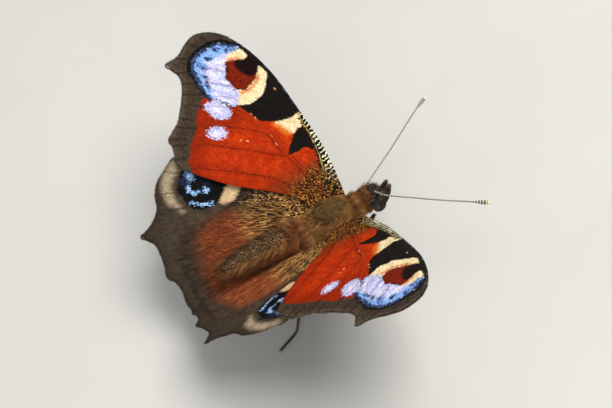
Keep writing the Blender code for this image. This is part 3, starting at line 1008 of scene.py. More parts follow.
def grow_coat(name: str, tufts: Tufts, paints: Sequence[Paint], seed: int,
              side: Side = Side.LEFT, place: Place | None = None) -> Mesh:
    """Make one mesh of many tufts.

    Args:
        name: The mesh's name.
        tufts: Where the tufts grow and how they lie.
        paints: The markings of the skin that they grow from.
        seed: The seed of the random differences between strands.
        side: The side of the body, of which the right one mirrors what is drawn.
        place: Turns the tufts' own coordinates into the row frame, if not the body's way.

    Returns:
        The mesh, with the markings, strand numbers and bake map written on it.
    """
    shape, faces = tuft_shape()
    place = place or BODY_FRAME.placer(side)
    turn_round = -1 if side is Side.RIGHT else 1
    count, corners = len(tufts.root), len(shape)
    rise = np.radians(tufts.rise_deg)[:, None]
    droop = np.radians(tufts.droop_deg)[:, None]
    first = unit(tufts.lie * np.cos(rise) + tufts.normal * np.sin(rise))
    second = unit(tufts.lie * np.cos(droop) + tufts.normal * np.sin(droop))
    side = unit(np.cross(tufts.lie, tufts.normal))
    share = shape[:, 2][None, :, None]
    length = tufts.length[:, None, None]
    width = tufts.width[:, None, None]
    start = tufts.root - tufts.normal * 0.06
    bent = np.minimum(share, 0.45) * length * first[:, None] \
        + np.maximum(share - 0.45, 0.0) * length * second[:, None]
    across = shape[:, 0][None, :, None] * width * side[:, None]
    above = shape[:, 1][None, :, None] * width * 0.6 * tufts.normal[:, None]
    at = (start[:, None] + bent + across + above).reshape(-1, 3)
    sizes = np.array([len(face) for face in faces])
    loops = np.concatenate([np.array(face[::turn_round]) for face in faces])
    mesh = bpy.data.meshes.new(name)
    mesh.vertices.add(count * corners)
    mesh.loops.add(count * len(loops))
    mesh.polygons.add(count * len(faces))
    mesh.vertices.foreach_set("co", np.ascontiguousarray(place(at), np.float32).ravel())
    every_loop = (loops[None] + np.arange(count)[:, None] * corners).ravel()
    mesh.loops.foreach_set("vertex_index", every_loop.astype(np.int32))
    starts = np.concatenate([[0], np.cumsum(sizes)[:-1]])
    every_start = (starts[None] + np.arange(count)[:, None] * len(loops)).ravel()
    mesh.polygons.foreach_set("loop_start", every_start.astype(np.int32))
    mesh.polygons.foreach_set("use_smooth", np.ones(count * len(faces), bool))
    mesh.update(calc_edges=True)
    random = np.random.default_rng(seed).random((count, 3))
    lay_vectors(mesh, "strand", np.repeat(random, corners, axis=0))
    lay_vectors(mesh, "place", np.repeat(tufts.colour_at, corners, axis=0))
    along = mesh.attributes.new("along", "FLOAT", "POINT")
    along.data.foreach_set("value", np.tile(shape[:, 2], count).astype(np.float32))
    lay_paints(mesh, paints, tufts.colour_at, corners)
    patch = np.column_stack([shape[:, 0], shape[:, 2] - 0.5]) * BAKE_PATCH
    spots = (tufts.unwrap[:, None] + patch[None]).reshape(-1, 2)
    bake = mesh.uv_layers.new(name=BAKE_MAP)
    bake.data.foreach_set("uv", spots[every_loop].astype(np.float32).ravel())
    mesh.validate()
    return mesh


# Markings of the wings


BLACK = srgb(13, 11, 10)
SOOT = srgb(30, 24, 20)

FOREWING_EDGE = (
    (26.7, -0.3), (28.5, 1.4), (29.3, 3.6), (28.7, 5.3), (27.9, 6.8), (27.7, 8.8), (26.4, 8.6),
    (25.3, 8.2), (24.0, 8.5), (22.7, 9.3), (21.2, 10.4), (19.9, 11.6), (19.1, 12.9), (18.3, 13.9),
    (17.2, 13.9), (16.2, 14.2), (15.0, 14.5), (13.9, 14.2))

FOREWING_PAINTS = (
    Paint("fw_root_shade", srgb(122, 60, 22), srgb(96, 48, 20), (
        Patch(((0.2, -3.4), (4.0, -2.6), (6.0, -1.7), (6.0, 1.5), (6.4, 5.5), (3.0, 5.6), (-1.0, 4.0))),
    ), 2.0, 1.0, 0.85, blotch=2.0),
    Paint("fw_outer_shade", srgb(150, 38, 6), srgb(132, 32, 6), (
        Patch(((16.0, 4.0), (19.0, 5.0), (22.0, 7.0), (20.0, 10.0), (17.0, 13.0), (13.0, 14.5),
            (11.5, 12.5), (14.0, 11.0), (15.5, 8.0))),
    ), 1.4, 1.0, 0.75, blotch=0.8),
    # painted shade: broad soft darkening along the main veins, standing in for the shade of their
    # ribbed relief
    Paint("fw_vein_shade", srgb(142, 34, 6), srgb(128, 32, 8), (
        Stroke(((1.8, 0.4), (5.1, 1.1), (8.5, 1.8), (13.0, 2.6), (17.5, 4.8), (21.3, 9.4)), 1.1),
        Stroke(((12.2, 2.4), (15.2, 5.2), (17.6, 8.9), (19.3, 11.1)), 0.7),
        Stroke(((8.6, 1.9), (11.2, 4.7), (14.4, 8.5), (17.2, 12.9)), 0.8),
        Stroke(((2.0, 1.6), (5.5, 3.9), (8.3, 6.4), (11.6, 10.2), (14.6, 13.5)), 1.3),
        Stroke(((2.8, 3.4), (6.4, 6.9), (11.4, 12.1)), 1.2),
    ), 0.7, 1.0, 0.42, blotch=0.6),
    Paint("fw_margin", srgb(78, 65, 52), srgb(56, 46, 37), (
        Patch(((20.3, 6.2), (20.9, 7.0), (20.1, 8.0), (19.0, 9.2), (18.0, 9.6), (17.3, 10.3),
            (16.3, 11.4), (15.0, 12.4), (14.3, 13.0), (12.9, 13.3), (12.0, 16.0), (20.0, 17.5),
            (31.0, 12.0), (32.0, 2.0), (27.0, -3.0), (24.5, -2.4), (24.0, 0.0), (24.5, 3.0),
            (22.5, 5.0), (21.2, 5.4))),
    ), 0.2, 1.6, blotch=0.5),
    Paint("fw_margin_pale", srgb(106, 91, 74), srgb(84, 71, 57), (
        Stroke(FOREWING_EDGE, 1.5),
    ), 0.35, 1.6, 0.6, blotch=2.2),
    Paint("fw_apex", srgb(52, 42, 35), srgb(70, 57, 46), (
        Stroke(((24.4, -1.4), (26.4, -0.3), (27.9, 1.6), (28.0, 4.4), (26.6, 6.6)), 0.9),
    ), 0.35, 1.4, 0.7, blotch=1.0),
    Paint("fw_margin_lines", srgb(40, 32, 26), srgb(54, 43, 34), tuple(
        Stroke(route, 0.36, 0.22) for route in (
            ((19.9, 7.5), (21.9, 10.1)), ((23.1, 6.6), (24.2, 8.6)), ((26.5, 5.4), (27.8, 7.6)),
            ((17.9, 10.0), (19.3, 11.9)), ((16.5, 12.0), (17.3, 13.6)), ((27.0, 2.2), (29.2, 3.2)),
            ((26.0, 0.2), (28.5, 1.4)), ((24.9, 6.2), (25.7, 8.2)), ((21.4, 6.7), (22.9, 9.2)),
            ((19.2, 9.8), (20.4, 11.2)), ((17.2, 11.6), (18.4, 13.7)), ((15.1, 13.1), (15.6, 14.4)),
            ((27.2, 3.9), (29.2, 5.0)))
    ), 0.07, 1.0, 0.92, blotch=0.15),
    Paint("fw_rim", srgb(40, 32, 27), srgb(56, 45, 36), (
        Stroke(FOREWING_EDGE, 0.5),
    ), 0.14, 1.2, 0.9, blotch=0.5),
    Paint("fw_black", BLACK, SOOT, (
        Patch(((12.9, -2.2), (13.1, -0.6), (13.4, 0.4), (13.75, 1.25), (14.25, 2.0), (15.0, 2.6),
            (16.0, 2.9), (16.8, 3.3), (17.6, 3.6), (18.2, 4.0), (19.6, 3.6), (20.4, 1.0), (20.2, -0.5),
            (20.5, -1.8), (19.6, -3.2), (15.0, -3.4))),
        Patch(((13.0, -3.2), (19.0, -2.9), (25.5, -1.7), (25.3, -0.6), (24.0, 0.2), (20.8, 0.2),
            (19.0, -1.0), (13.2, -1.6))),
        Patch(((7.5, -1.62), (8.15, -1.05), (8.6, -0.6), (8.4, 0.1), (8.5, 0.9), (8.7, 1.6),
            (9.4, 1.05), (10.1, 0.25), (10.8, -0.6), (11.2, -1.95), (9.0, -2.05)), 2),
        Patch(((17.7, 4.2), (18.7, 5.1), (20.0, 6.15), (21.1, 6.6), (22.5, 6.85), (23.8, 6.8),
            (25.2, 6.88), (26.4, 6.2), (27.15, 5.1), (27.42, 4.0), (27.42, 2.2), (27.0, 0.9),
            (26.1, -0.1), (25.0, -0.9), (23.0, -1.2), (19.5, -0.5), (18.0, 2.0))),
        Stroke(((13.0, -1.6), (13.1, 0.3)), 0.5),
    ), 0.05, 1.2),
    Paint("fw_cream", srgb(246, 216, 152), srgb(255, 238, 198), (
        Patch(((11.2, -2.1), (11.1, -1.2), (10.9, -0.7), (10.95, -0.2), (11.6, 0.1), (12.5, 0.6),
            (13.3, 0.95), (13.2, 0.1), (12.95, -0.8), (12.85, -1.6), (13.0, -2.75), (12.3, -2.75))),
        Patch(((19.8, -1.9), (18.9, -1.3), (18.0, -0.5), (17.4, 0.4), (17.15, 2.0), (17.35, 2.7),
            (17.9, 3.6), (18.7, 4.1), (19.6, 3.0), (19.6, 1.0), (20.0, -0.1), (20.6, -0.8),
            (21.2, -1.35))),
        Patch(((22.9, -0.85), (24.3, -0.75), (24.65, 0.0), (24.75, 1.1), (24.3, 1.9), (23.4, 1.7),
            (22.7, 0.3))),
    ), 0.07, 1.4),
    Paint("fw_amber", srgb(232, 136, 40), srgb(216, 92, 24), (
        Patch(((10.95, -0.3), (12.0, 0.0), (13.1, 0.6), (13.5, 1.3), (12.2, 0.9), (11.1, 0.5))),
        Stroke(((20.0, -0.7), (19.3, 0.2), (18.95, 1.4), (19.0, 2.4)), 0.45),
        Stroke(((23.4, 0.1), (23.75, 1.0), (24.15, 1.75)), 0.4),
    ), 0.25, 1.6, 0.85, blotch=0.5),
    Paint("fw_violet", srgb(176, 180, 238), srgb(222, 220, 250), (
        Patch(((17.9, 3.9), (18.9, 2.7), (20.6, 2.9), (22.2, 2.7), (23.9, 1.9), (24.5, 1.3),
            (24.9, 0.2), (24.7, -0.6), (25.7, 0.4), (26.4, 1.2), (26.8, 2.4), (26.75, 4.0), (26.3, 5.2),
            (25.0, 6.2), (23.5, 6.2), (22.3, 6.45), (21.1, 6.2), (20.2, 5.9), (19.2, 5.2), (18.4, 4.5)),
            3),
        Patch(((17.3, 4.85), (18.7, 5.0), (19.75, 5.7), (20.1, 6.6), (19.9, 7.5), (18.9, 7.4),
            (17.8, 7.0), (17.0, 6.0))),
        Spot((15.9, 7.9), (1.25, 0.86), 62.0),
    ), 0.08, 3.2, blotch=0.25),
    Paint("fw_blue", srgb(92, 150, 230), srgb(150, 200, 248), (
        Patch(((24.7, 0.5), (24.8, -0.4), (25.7, 0.4), (26.35, 1.2), (26.75, 2.4), (26.75, 3.9),
            (26.35, 5.2), (25.0, 6.25), (23.5, 6.3), (22.2, 6.45), (20.6, 6.2), (20.0, 5.8),
            (21.0, 5.5), (22.6, 5.3), (23.7, 4.9), (24.5, 4.0), (25.0, 2.8), (25.0, 1.6))),
        Spot((22.4, 3.5), (0.7, 0.3), 42.0),
        Spot((21.0, 4.0), (0.7, 0.26), 42.0),
    ), 0.16, 1.9, 0.85, blotch=2.2),
    Paint("fw_violet_white", srgb(250, 248, 255), srgb(222, 218, 248), (
        Spot((24.4, 2.6), (1.0, 0.5), 60.0),
        Spot((23.2, 4.2), (1.3, 0.45), 45.0),
        Stroke(((18.7, 4.0), (19.6, 4.9), (20.9, 5.5)), 0.5),
        Stroke(((19.6, 3.2), (20.8, 4.2), (21.8, 5.3)), 0.5),
        Stroke(((21.3, 3.2), (22.4, 4.4), (23.0, 5.4)), 0.4),
        Stroke(((23.2, 2.5), (24.2, 3.4), (25.2, 4.2)), 0.4),
        Spot((18.6, 6.2), (0.95, 0.5), 40.0),
        Spot((15.9, 7.9), (0.8, 0.45), 62.0),
    ), 0.22, 2.8, 0.95, blotch=0.9),
    Paint("fw_mottle", srgb(12, 14, 24), srgb(34, 50, 96), (
        Stroke(((20.4, 6.25), (21.5, 6.4), (23.4, 6.15), (25.0, 6.1), (26.2, 5.1), (26.65, 3.9),
            (26.7, 2.3), (26.2, 1.0), (25.2, 0.0)), 0.34),
        Spot((25.4, 3.6), (0.5, 0.25), 60.0),
        Spot((25.1, 4.9), (0.5, 0.25), 30.0),
        Spot((24.4, 4.75), (0.35, 0.2), 30.0),
        Spot((23.3, 5.3), (0.45, 0.2), 10.0),
        Spot((25.9, 1.9), (0.45, 0.2), 70.0),
        Spot((22.2, 5.6), (0.4, 0.16), 10.0),
        Spot((25.2, 0.9), (0.35, 0.2), 60.0),
    ), 0.08, 2.8, 0.95, blotch=1.7),
    Paint("fw_pupil", srgb(104, 22, 6), srgb(136, 38, 10), (
        Patch(((20.0, -0.4), (19.35, 1.0), (19.15, 1.6), (19.5, 2.2), (20.3, 2.7), (21.1, 2.85),
            (21.9, 3.1), (22.4, 2.65), (22.9, 2.15), (23.9, 1.9), (23.6, 1.0), (23.0, 0.0),
            (21.0, -0.8))),
    ), 0.09, 1.8, blotch=0.2),
    Paint("fw_pupil_black", BLACK, srgb(34, 12, 8), (
        Patch(((20.4, -0.4), (21.0, -1.3), (22.8, -1.1), (23.05, 0.0), (23.4, 0.75), (22.7, 1.2),
            (21.5, 0.85), (20.6, 0.3))),
    ), 0.1, 1.8, blotch=0.3),
    Paint("fw_lines_red", srgb(158, 50, 40), srgb(120, 44, 50), (
        Stroke(((20.1, 2.7), (21.4, 4.0), (22.7, 5.6)), 0.12),
        Stroke(((22.4, 2.5), (23.6, 3.6), (24.8, 5.0)), 0.12),
        Stroke(((19.0, 3.6), (20.0, 4.8), (20.6, 5.9)), 0.09),
    ), 0.06, 0.8, 0.85),
    Paint("fw_veins", srgb(84, 20, 6), srgb(50, 14, 6), (
        Stroke(((4.5, 1.0), (7.0, 1.5), (8.5, 1.9), (9.3, 2.8), (11.0, 4.8), (12.5, 6.5), (15.3, 9.8)),
            0.17, 0.1),
        Stroke(((9.2, 2.1), (11.0, 2.4), (12.5, 2.6), (14.0, 3.9), (15.0, 5.2), (16.0, 6.4),
            (18.0, 9.4)), 0.13, 0.1),
        Stroke(((3.5, 2.6), (5.0, 3.6), (7.0, 4.9), (9.0, 7.2), (11.0, 9.6), (12.5, 11.8),
            (13.3, 12.8)), 0.19, 0.11),
        Stroke(((16.4, 3.3), (18.2, 4.9), (20.0, 7.6)), 0.1),
        Stroke(((2.5, -0.1), (5.0, 0.5), (8.6, 1.4)), 0.14),
    ), 0.07, 0.7, 0.85),
    Paint("fw_front_black", BLACK, srgb(30, 26, 20), (
        Patch(((1.6, -3.2), (8.0, -3.5), (12.9, -3.5), (12.5, -2.15), (10.0, -1.95), (8.5, -1.7),
            (7.0, -1.42), (5.5, -1.0), (4.0, -0.5), (1.8, 0.0))),
    ), 0.07, 3.4),
    Paint("fw_front_line", srgb(234, 218, 150), srgb(214, 180, 96), (
        Stroke(((2.2, -0.55), (4.0, -0.97), (5.5, -1.42), (7.0, -1.83), (8.5, -2.05), (10.0, -2.2),
            (12.6, -2.3)), 0.11),
    ), 0.04, 0.8, 0.95),
    Paint("fw_zebra", srgb(236, 230, 178), srgb(248, 244, 214), (
        Patch(((2.0, -2.9), (5.4, -3.2), (8.0, -3.2), (12.9, -3.2), (12.5, -2.5), (10.0, -2.38),
            (8.5, -2.24), (7.0, -2.04), (5.5, -1.64), (4.0, -1.2), (2.2, -0.85))),
    ), 0.05, 1.0, 1.0, zebra=0.56),
    Paint("fw_costal_dots", srgb(156, 166, 196), srgb(120, 128, 150), (
        Stroke(((13.0, -2.8), (18.9, -2.55), (23.5, -1.6), (26.7, -0.2)), 0.3),
    ), 0.05, 1.0, 0.8, flecks=0.2),
    Paint("fw_dust", srgb(190, 134, 56), srgb(134, 82, 32), (
        Patch(((0.2, -3.2), (3.0, -2.3), (5.0, -1.2), (5.8, -0.3), (5.2, 1.6), (4.8, 3.6), (3.0, 4.4),
            (0.0, 4.0))),
    ), 1.0, 1.0, 1.0, flecks=0.24, blotch=1.5),
    Paint("fw_soot", BLACK, srgb(60, 38, 22), (
        Patch(((0.2, -3.2), (3.0, -2.3), (5.2, -1.2), (5.9, -0.3), (5.0, 1.4), (4.6, 3.4), (2.8, 4.2),
            (0.0, 3.8))),
    ), 1.0, 1.0, 1.0, flecks=-0.6, blotch=1.5),
    Paint("fw_pale_flecks", srgb(250, 206, 160), srgb(240, 160, 100), (
        Spot((13.0, 5.1), (0.2, 0.12), 50.0),
        Spot((13.5, 5.8), (0.18, 0.1), 50.0),
        Spot((10.7, 2.2), (0.2, 0.08), 10.0),
        Spot((12.0, 2.1), (0.2, 0.08), 10.0),
        Spot((15.2, 2.6), (0.2, 0.1)),
        Spot((15.9, 2.8), (0.16, 0.09)),
        Spot((17.3, -1.6), (0.2, 0.1)),
    ), 0.06, 0.6, 0.8),
)

HINDWING_EDGE = (
    (16.6, 10.9), (15.9, 12.6), (14.8, 14.4), (13.2, 15.6), (11.8, 16.1), (11.0, 17.0), (10.1, 18.4),
    (9.7, 19.6), (8.9, 19.1), (7.8, 18.6), (6.4, 18.7), (4.9, 19.0), (3.5, 19.4), (2.3, 18.8),
    (0.8, 18.7), (-1.9, 18.8))

HINDWING_PAINTS = (
    Paint("hw_hair_ground", srgb(172, 86, 44), srgb(128, 68, 42), (
        Patch(((-2.2, 3.0), (2.6, 4.6), (5.4, 6.4), (6.4, 8.0), (6.7, 10.0), (6.3, 11.6), (5.2, 13.0),
            (3.0, 13.8), (-2.2, 13.8))),
    ), 1.2, 3.0, 0.9, blotch=2.4),
    Paint("hw_root", srgb(128, 80, 42), srgb(98, 60, 34), (
        Patch(((-2.4, -2.0), (3.0, -2.0), (5.4, 1.0), (4.4, 3.6), (1.2, 7.4), (-2.4, 9.0))),
    ), 1.4, 2.0, 0.92, blotch=2.0),
    Paint("hw_far_edge", srgb(52, 45, 37), srgb(66, 57, 46), (
        Stroke(HINDWING_EDGE[4:], 3.4),
    ), 1.1, 1.5, 0.75, blotch=1.4),
    Paint("hw_edge", srgb(44, 37, 31), srgb(60, 50, 41), (
        Stroke(HINDWING_EDGE, 0.9),
    ), 0.35, 1.5, 0.85, blotch=0.8),
    Paint("hw_pale_ring", srgb(198, 178, 148), srgb(164, 144, 116), (
        Stroke(((15.5, 9.4), (15.5, 11.0), (14.8, 12.6), (13.4, 13.7), (11.6, 14.0)), 1.6, 1.1),
        Stroke(((11.8, 13.9), (9.8, 13.4)), 0.9, 0.3),
    ), 0.5, 1.6, 0.88, blotch=0.7),
    Paint("hw_smudge", srgb(36, 29, 24), srgb(60, 48, 38), (
        Patch(((6.3, 4.2), (7.6, 4.4), (8.6, 5.6), (8.3, 6.4), (7.8, 7.2), (7.5, 8.4), (6.9, 7.8),
            (6.5, 6.6), (6.0, 5.4))),
    ), 0.4, 2.4, 0.95, blotch=0.8),
    Paint("hw_black", BLACK, srgb(22, 20, 24), (
        Patch(((9.9, 7.0), (9.1, 8.2), (8.5, 9.1), (8.45, 10.2), (8.95, 11.6), (10.0, 12.45),
            (11.3, 12.5), (12.4, 12.7), (13.5, 11.9), (14.5, 10.8), (14.5, 9.8), (13.4, 8.4),
            (12.0, 7.2), (11.1, 6.7))),
    ), 0.1, 1.8, blotch=0.25),
    Paint("hw_cream", srgb(236, 208, 164), srgb(214, 176, 130), (
        Patch(((9.0, 5.5), (9.9, 6.6), (9.1, 7.9), (8.4, 8.8), (7.9, 8.3), (7.75, 7.2), (8.3, 6.1))),
    ), 0.25, 1.8, 0.95, blotch=0.3),
    Paint("hw_blue", srgb(96, 156, 238), srgb(164, 208, 250), (
        Spot((10.7, 9.5), (0.42, 0.36), 30.0),
        Spot((13.4, 10.3), (0.7, 0.4), 20.0),
        Stroke(((11.0, 10.5), (11.2, 11.15), (11.8, 11.4), (12.5, 11.1)), 0.42),
        Stroke(((8.75, 9.6), (9.2, 10.8), (10.2, 11.9)), 0.36, 0.3),
    ), 0.12, 3.0, 0.96, blotch=0.45),
    Paint("hw_blue_white", srgb(226, 238, 255), srgb(180, 214, 252), (
        Spot((13.4, 10.3), (0.36, 0.2), 20.0),
        Stroke(((8.95, 10.1), (9.6, 11.3)), 0.2),
        Stroke(((11.4, 11.2), (12.1, 11.25)), 0.18),
        Spot((10.7, 9.5), (0.2, 0.16)),
    ), 0.1, 2.4, 0.9, blotch=0.25),
    Paint("hw_dim_blue", srgb(44, 62, 104), srgb(60, 82, 130), (
        Spot((12.9, 9.2), (0.8, 0.35), 45.0),
        Spot((11.6, 9.0), (0.5, 0.3), 30.0),
        Spot((13.2, 11.4), (0.5, 0.3), -30.0),
    ), 0.2, 2.6, 0.35, blotch=0.7),
    Paint("hw_lines", srgb(50, 41, 33), srgb(66, 54, 43), tuple(
        Stroke(route, 0.3, 0.2) for route in (
            ((10.1, 13.0), (10.9, 15.4), (11.2, 16.9)), ((12.4, 12.9), (13.5, 15.4)),
            ((7.5, 13.0), (8.6, 18.6)), ((5.1, 14.8), (5.7, 18.8)), ((3.1, 14.4), (3.4, 19.2)),
            ((14.3, 11.2), (15.7, 12.9)), ((9.0, 12.9), (9.9, 19.0)), ((6.4, 14.0), (7.1, 18.6)),
            ((4.1, 14.6), (4.4, 18.9)), ((1.9, 14.4), (2.0, 18.8)), ((0.4, 14.4), (0.3, 18.8)),
            ((8.3, 13.0), (9.3, 18.9)))
    ), 0.08, 0.9, 0.6),
    Paint("hw_dust", srgb(222, 174, 104), srgb(176, 124, 66), (
        Patch(((-0.5, -1.0), (4.0, -0.5), (7.0, 2.4), (7.2, 4.4), (6.2, 6.6), (4.2, 7.8), (1.6, 7.4),
            (0.2, 4.0))),
    ), 1.3, 1.0, 1.0, flecks=0.32, blotch=1.2),
    Paint("hw_soot", srgb(28, 21, 17), srgb(56, 38, 26), (
        Patch(((-0.5, -1.0), (4.0, -0.4), (6.8, 2.4), (7.0, 4.4), (6.0, 6.2), (4.0, 7.0), (1.6, 6.4),
            (0.4, 3.6))),
    ), 1.3, 1.0, 1.0, flecks=-0.45, blotch=1.2),
    Paint("hw_dark_streaks", srgb(60, 42, 32), srgb(84, 58, 42), (
        Patch(((-1.9, 6.0), (3.0, 7.5), (6.4, 8.0), (7.6, 12.0), (6.0, 16.0), (-1.9, 16.0))),
    ), 1.0, 1.0, 0.85, flecks=-0.2, blotch=1.0),
    Paint("hw_dot", srgb(176, 164, 144), srgb(150, 136, 116), (
        Spot((6.9, 6.6), (0.22, 0.16)),
    ), 0.08, 0.8, 0.8),
)

UNDER_PAINTS = (
    Paint("un_outer", srgb(84, 72, 62), srgb(56, 47, 40), (
        Patch(((12.0, -4.0), (13.5, 2.0), (12.5, 7.0), (9.0, 10.5), (4.0, 13.0), (-1.0, 14.0),
            (-2.0, 22.0), (20.0, 22.0), (33.0, 10.0), (33.0, -4.0))),
    ), 0.5, 2.0, 0.8),
    Paint("un_line", srgb(16, 13, 13), srgb(26, 22, 20), (
        Stroke(((12.0, -4.0), (13.6, 2.0), (12.6, 7.0), (9.0, 10.6), (4.0, 13.0), (-1.0, 14.0)), 0.5),
        Stroke(((25.6, -1.0), (26.2, 3.0), (24.0, 6.6), (19.0, 10.6), (15.2, 12.6), (10.0, 15.4),
            (5.0, 16.8), (0.0, 17.0)), 0.35),
    ), 0.2, 2.4, 0.9),
    Paint("un_dots", srgb(214, 208, 196), srgb(180, 172, 160), (
        Spot((22.4, 1.6), (0.22, 0.16)),
        Spot((20.4, 4.6), (0.2, 0.16)),
        Spot((17.4, 7.8), (0.18, 0.15)),
        Spot((9.2, 8.8), (0.24, 0.2)),
    ), 0.06, 0.8, 0.85),
)


@dataclass(frozen=True)
class WingPlan:
    """The drawing of one kind of wing: its outline, veins, relief and markings."""

    kind: str
    slot: str
    fronts: tuple[Point, ...]
    margins: tuple[Point, ...]
    rears: tuple[Point, ...]
    root: tuple[Point, ...]
    veins: tuple[tuple[Point, ...], ...]
    paints: tuple[Paint, ...]
    base: Colour
    other: Colour
    lie_deg: float
    lie_from: Point
    level: float
    trailing_drop: float = 0.0
    cell: float = 0.145
    thickness: float = 0.12
    ridge: float = 0.07
    sag: float = 0.1

    def outline(self) -> np.ndarray:
        """Draw the wing's outline from the root round its front, margin and rear.

        Returns:
            A closed run of points, without the first again.
        """
        front = smooth_line((self.root[-1], *self.fronts), 6)
        margin = smooth_line((self.fronts[-1], *self.margins), 6)
        rear = smooth_line((self.margins[-1], *self.rears, self.root[0]), 6)
        return np.vstack([front[:-1], margin[:-1], rear[:-1], np.asarray(self.root)[:-1]])

    def sheet(self) -> bmesh.types.BMesh:
        """Cut the outline into small squares.

        Returns:
            A flat bmesh in wing millimetres, with its faces upwards.
        """
        outline = self.outline()
        bm = bmesh.new()
        bm.faces.new([bm.verts.new((x, y, 0.0)) for x, y in outline])
        low, high = outline.min(axis=0), outline.max(axis=0)
        for axis in (0, 1):
            across = (1.0, 0.0, 0.0) if axis == 0 else (0.0, 1.0, 0.0)
            for at in np.arange(low[axis] + self.cell / 2, high[axis], self.cell):
                spot = tuple(at * np.asarray(across))
                uncut = [f for f in bm.faces if f.calc_center_bounds()[axis] > at - self.cell * 2]
                near = list({e for f in uncut for e in f.edges})
                ends = list({v for f in uncut for v in f.verts})
                bmesh.ops.bisect_plane(bm, geom=ends + near + uncut, dist=1e-4,
                                       plane_co=spot, plane_no=across)
        bmesh.ops.remove_doubles(bm, verts=bm.verts, dist=self.cell * 0.12)
        crowded = [f for f in bm.faces if len(f.verts) > 4]
        bmesh.ops.triangulate(bm, faces=crowded)
        return bm

    def height(self, at: np.ndarray) -> np.ndarray:
        """Height of the wing's upper face above its plane.

        Args:
            at: Places on the wing, out and back in each row.

        Returns:
            The height at each place.
        """
        nearest = np.full(len(at), np.inf)
        for vein in self.veins:
            away, _ = distance_to_line(at, smooth_line(vein, 4))
            nearest = np.minimum(nearest, away)
        crest = self.ridge * np.exp(-((nearest / 0.13) ** 2))
        hollow = self.sag * (1.0 - np.exp(-((nearest / 1.0) ** 2)))
        rear = smooth_line((self.margins[-1], *self.rears), 4)
        near_rear, _ = distance_to_line(at, rear)
        return self.level + crest - hollow - self.trailing_drop * np.exp(-near_rear / 1.5)


FOREWING = WingPlan(
    kind="forewing", slot="forewing_scales",
    fronts=((2.8, -2.2), (5.4, -2.6), (8.2, -2.85), (13.1, -2.8), (18.9, -2.55), (23.5, -1.6),
            (26.7, -0.2), (28.5, 1.5), (29.2, 3.6), (28.6, 5.3), (27.7, 6.8), (27.5, 8.7)),
    margins=((26.4, 8.4), (25.3, 8.0), (24.0, 8.3), (22.6, 9.1), (21.1, 10.2), (19.7, 11.4),
             (18.9, 12.7), (18.2, 13.6), (17.2, 13.6), (16.2, 13.9), (15.0, 14.3), (13.9, 14.0)),
    rears=((11.4, 12.1), (8.7, 9.6), (6.4, 6.9), (4.6, 4.9), (2.8, 3.4)),
    root=((0.5, 2.6), (0.3, 1.2), (0.2, 0.2), (0.2, -0.8), (0.3, -1.7)),
    veins=(((1.5, -0.6), (6.0, -1.2), (13.0, -1.7), (19.5, -1.5), (24.0, -0.4), (27.9, 2.9)),
           ((1.8, 0.4), (5.1, 1.1), (8.5, 1.8), (13.0, 2.6), (17.5, 4.8), (21.3, 9.4)),
           ((13.4, -1.3), (14.6, 0.6), (13.2, 2.5)),
           ((14.3, -0.2), (19.0, 0.9), (23.0, 3.2), (26.6, 7.6)),
           ((14.5, 0.9), (18.5, 2.4), (21.6, 4.8), (23.8, 7.9)),
           ((12.2, 2.4), (15.2, 5.2), (17.6, 8.9), (19.3, 11.1)),
           ((8.6, 1.9), (11.2, 4.7), (14.4, 8.5), (17.2, 12.9)),
           ((2.0, 1.6), (5.5, 3.9), (8.3, 6.4), (11.6, 10.2), (14.6, 13.5))),
    paints=FOREWING_PAINTS, base=srgb(204, 60, 8), other=srgb(176, 42, 4),
    lie_deg=-24.0, lie_from=(-3.0, -2.0), level=-0.12, trailing_drop=0.12)

HINDWING = WingPlan(
    kind="hindwing", slot="hindwing_scales",
    fronts=((2.8, -1.9), (4.6, -0.9), (7.0, 1.1), (9.5, 3.3), (12.0, 5.6), (14.5, 8.0),
            (16.1, 9.9), (16.5, 10.9), (15.8, 12.5), (14.7, 14.3), (13.2, 15.4), (11.8, 15.9),
            (10.9, 16.8), (10.1, 18.1), (9.7, 19.5)),
    margins=((8.9, 19.0), (7.8, 18.4), (6.4, 18.5), (4.9, 18.8), (3.5, 19.25), (2.3, 18.6),
             (0.8, 18.5), (-0.6, 18.8), (-1.9, 18.6)),
    rears=((-1.9, 15.8), (-1.9, 13.0), (-1.9, 10.2), (-1.9, 7.4), (-1.9, 4.4), (-1.8, 2.4),
           (-1.0, 1.4)),
    root=((0.1, 1.2), (0.4, 0.7), (0.5, -0.3), (0.4, -1.3)),
    veins=(((2.6, -0.8), (6.5, 2.2), (11.0, 6.4), (15.4, 10.9)),
           ((2.2, 0.6), (5.4, 3.4), (9.6, 8.0), (12.6, 12.2), (14.1, 14.1)),
           ((6.0, 4.1), (8.6, 9.0), (10.6, 13.6), (11.5, 15.4)),
           ((4.2, 4.6), (6.5, 8.9), (8.0, 14.0), (9.2, 18.0)),
           ((2.0, 2.2), (3.2, 4.2), (4.6, 9.0), (5.4, 14.0), (5.9, 17.9)),
           ((2.9, 4.8), (3.2, 9.0), (3.1, 14.0), (3.3, 18.4)),
           ((0.9, 4.4), (0.9, 9.0), (0.6, 14.0), (0.4, 17.8))),
    paints=HINDWING_PAINTS, base=srgb(82, 69, 55), other=srgb(64, 54, 43),
    lie_deg=-62.0, lie_from=(-0.6, -3.0), level=0.16)


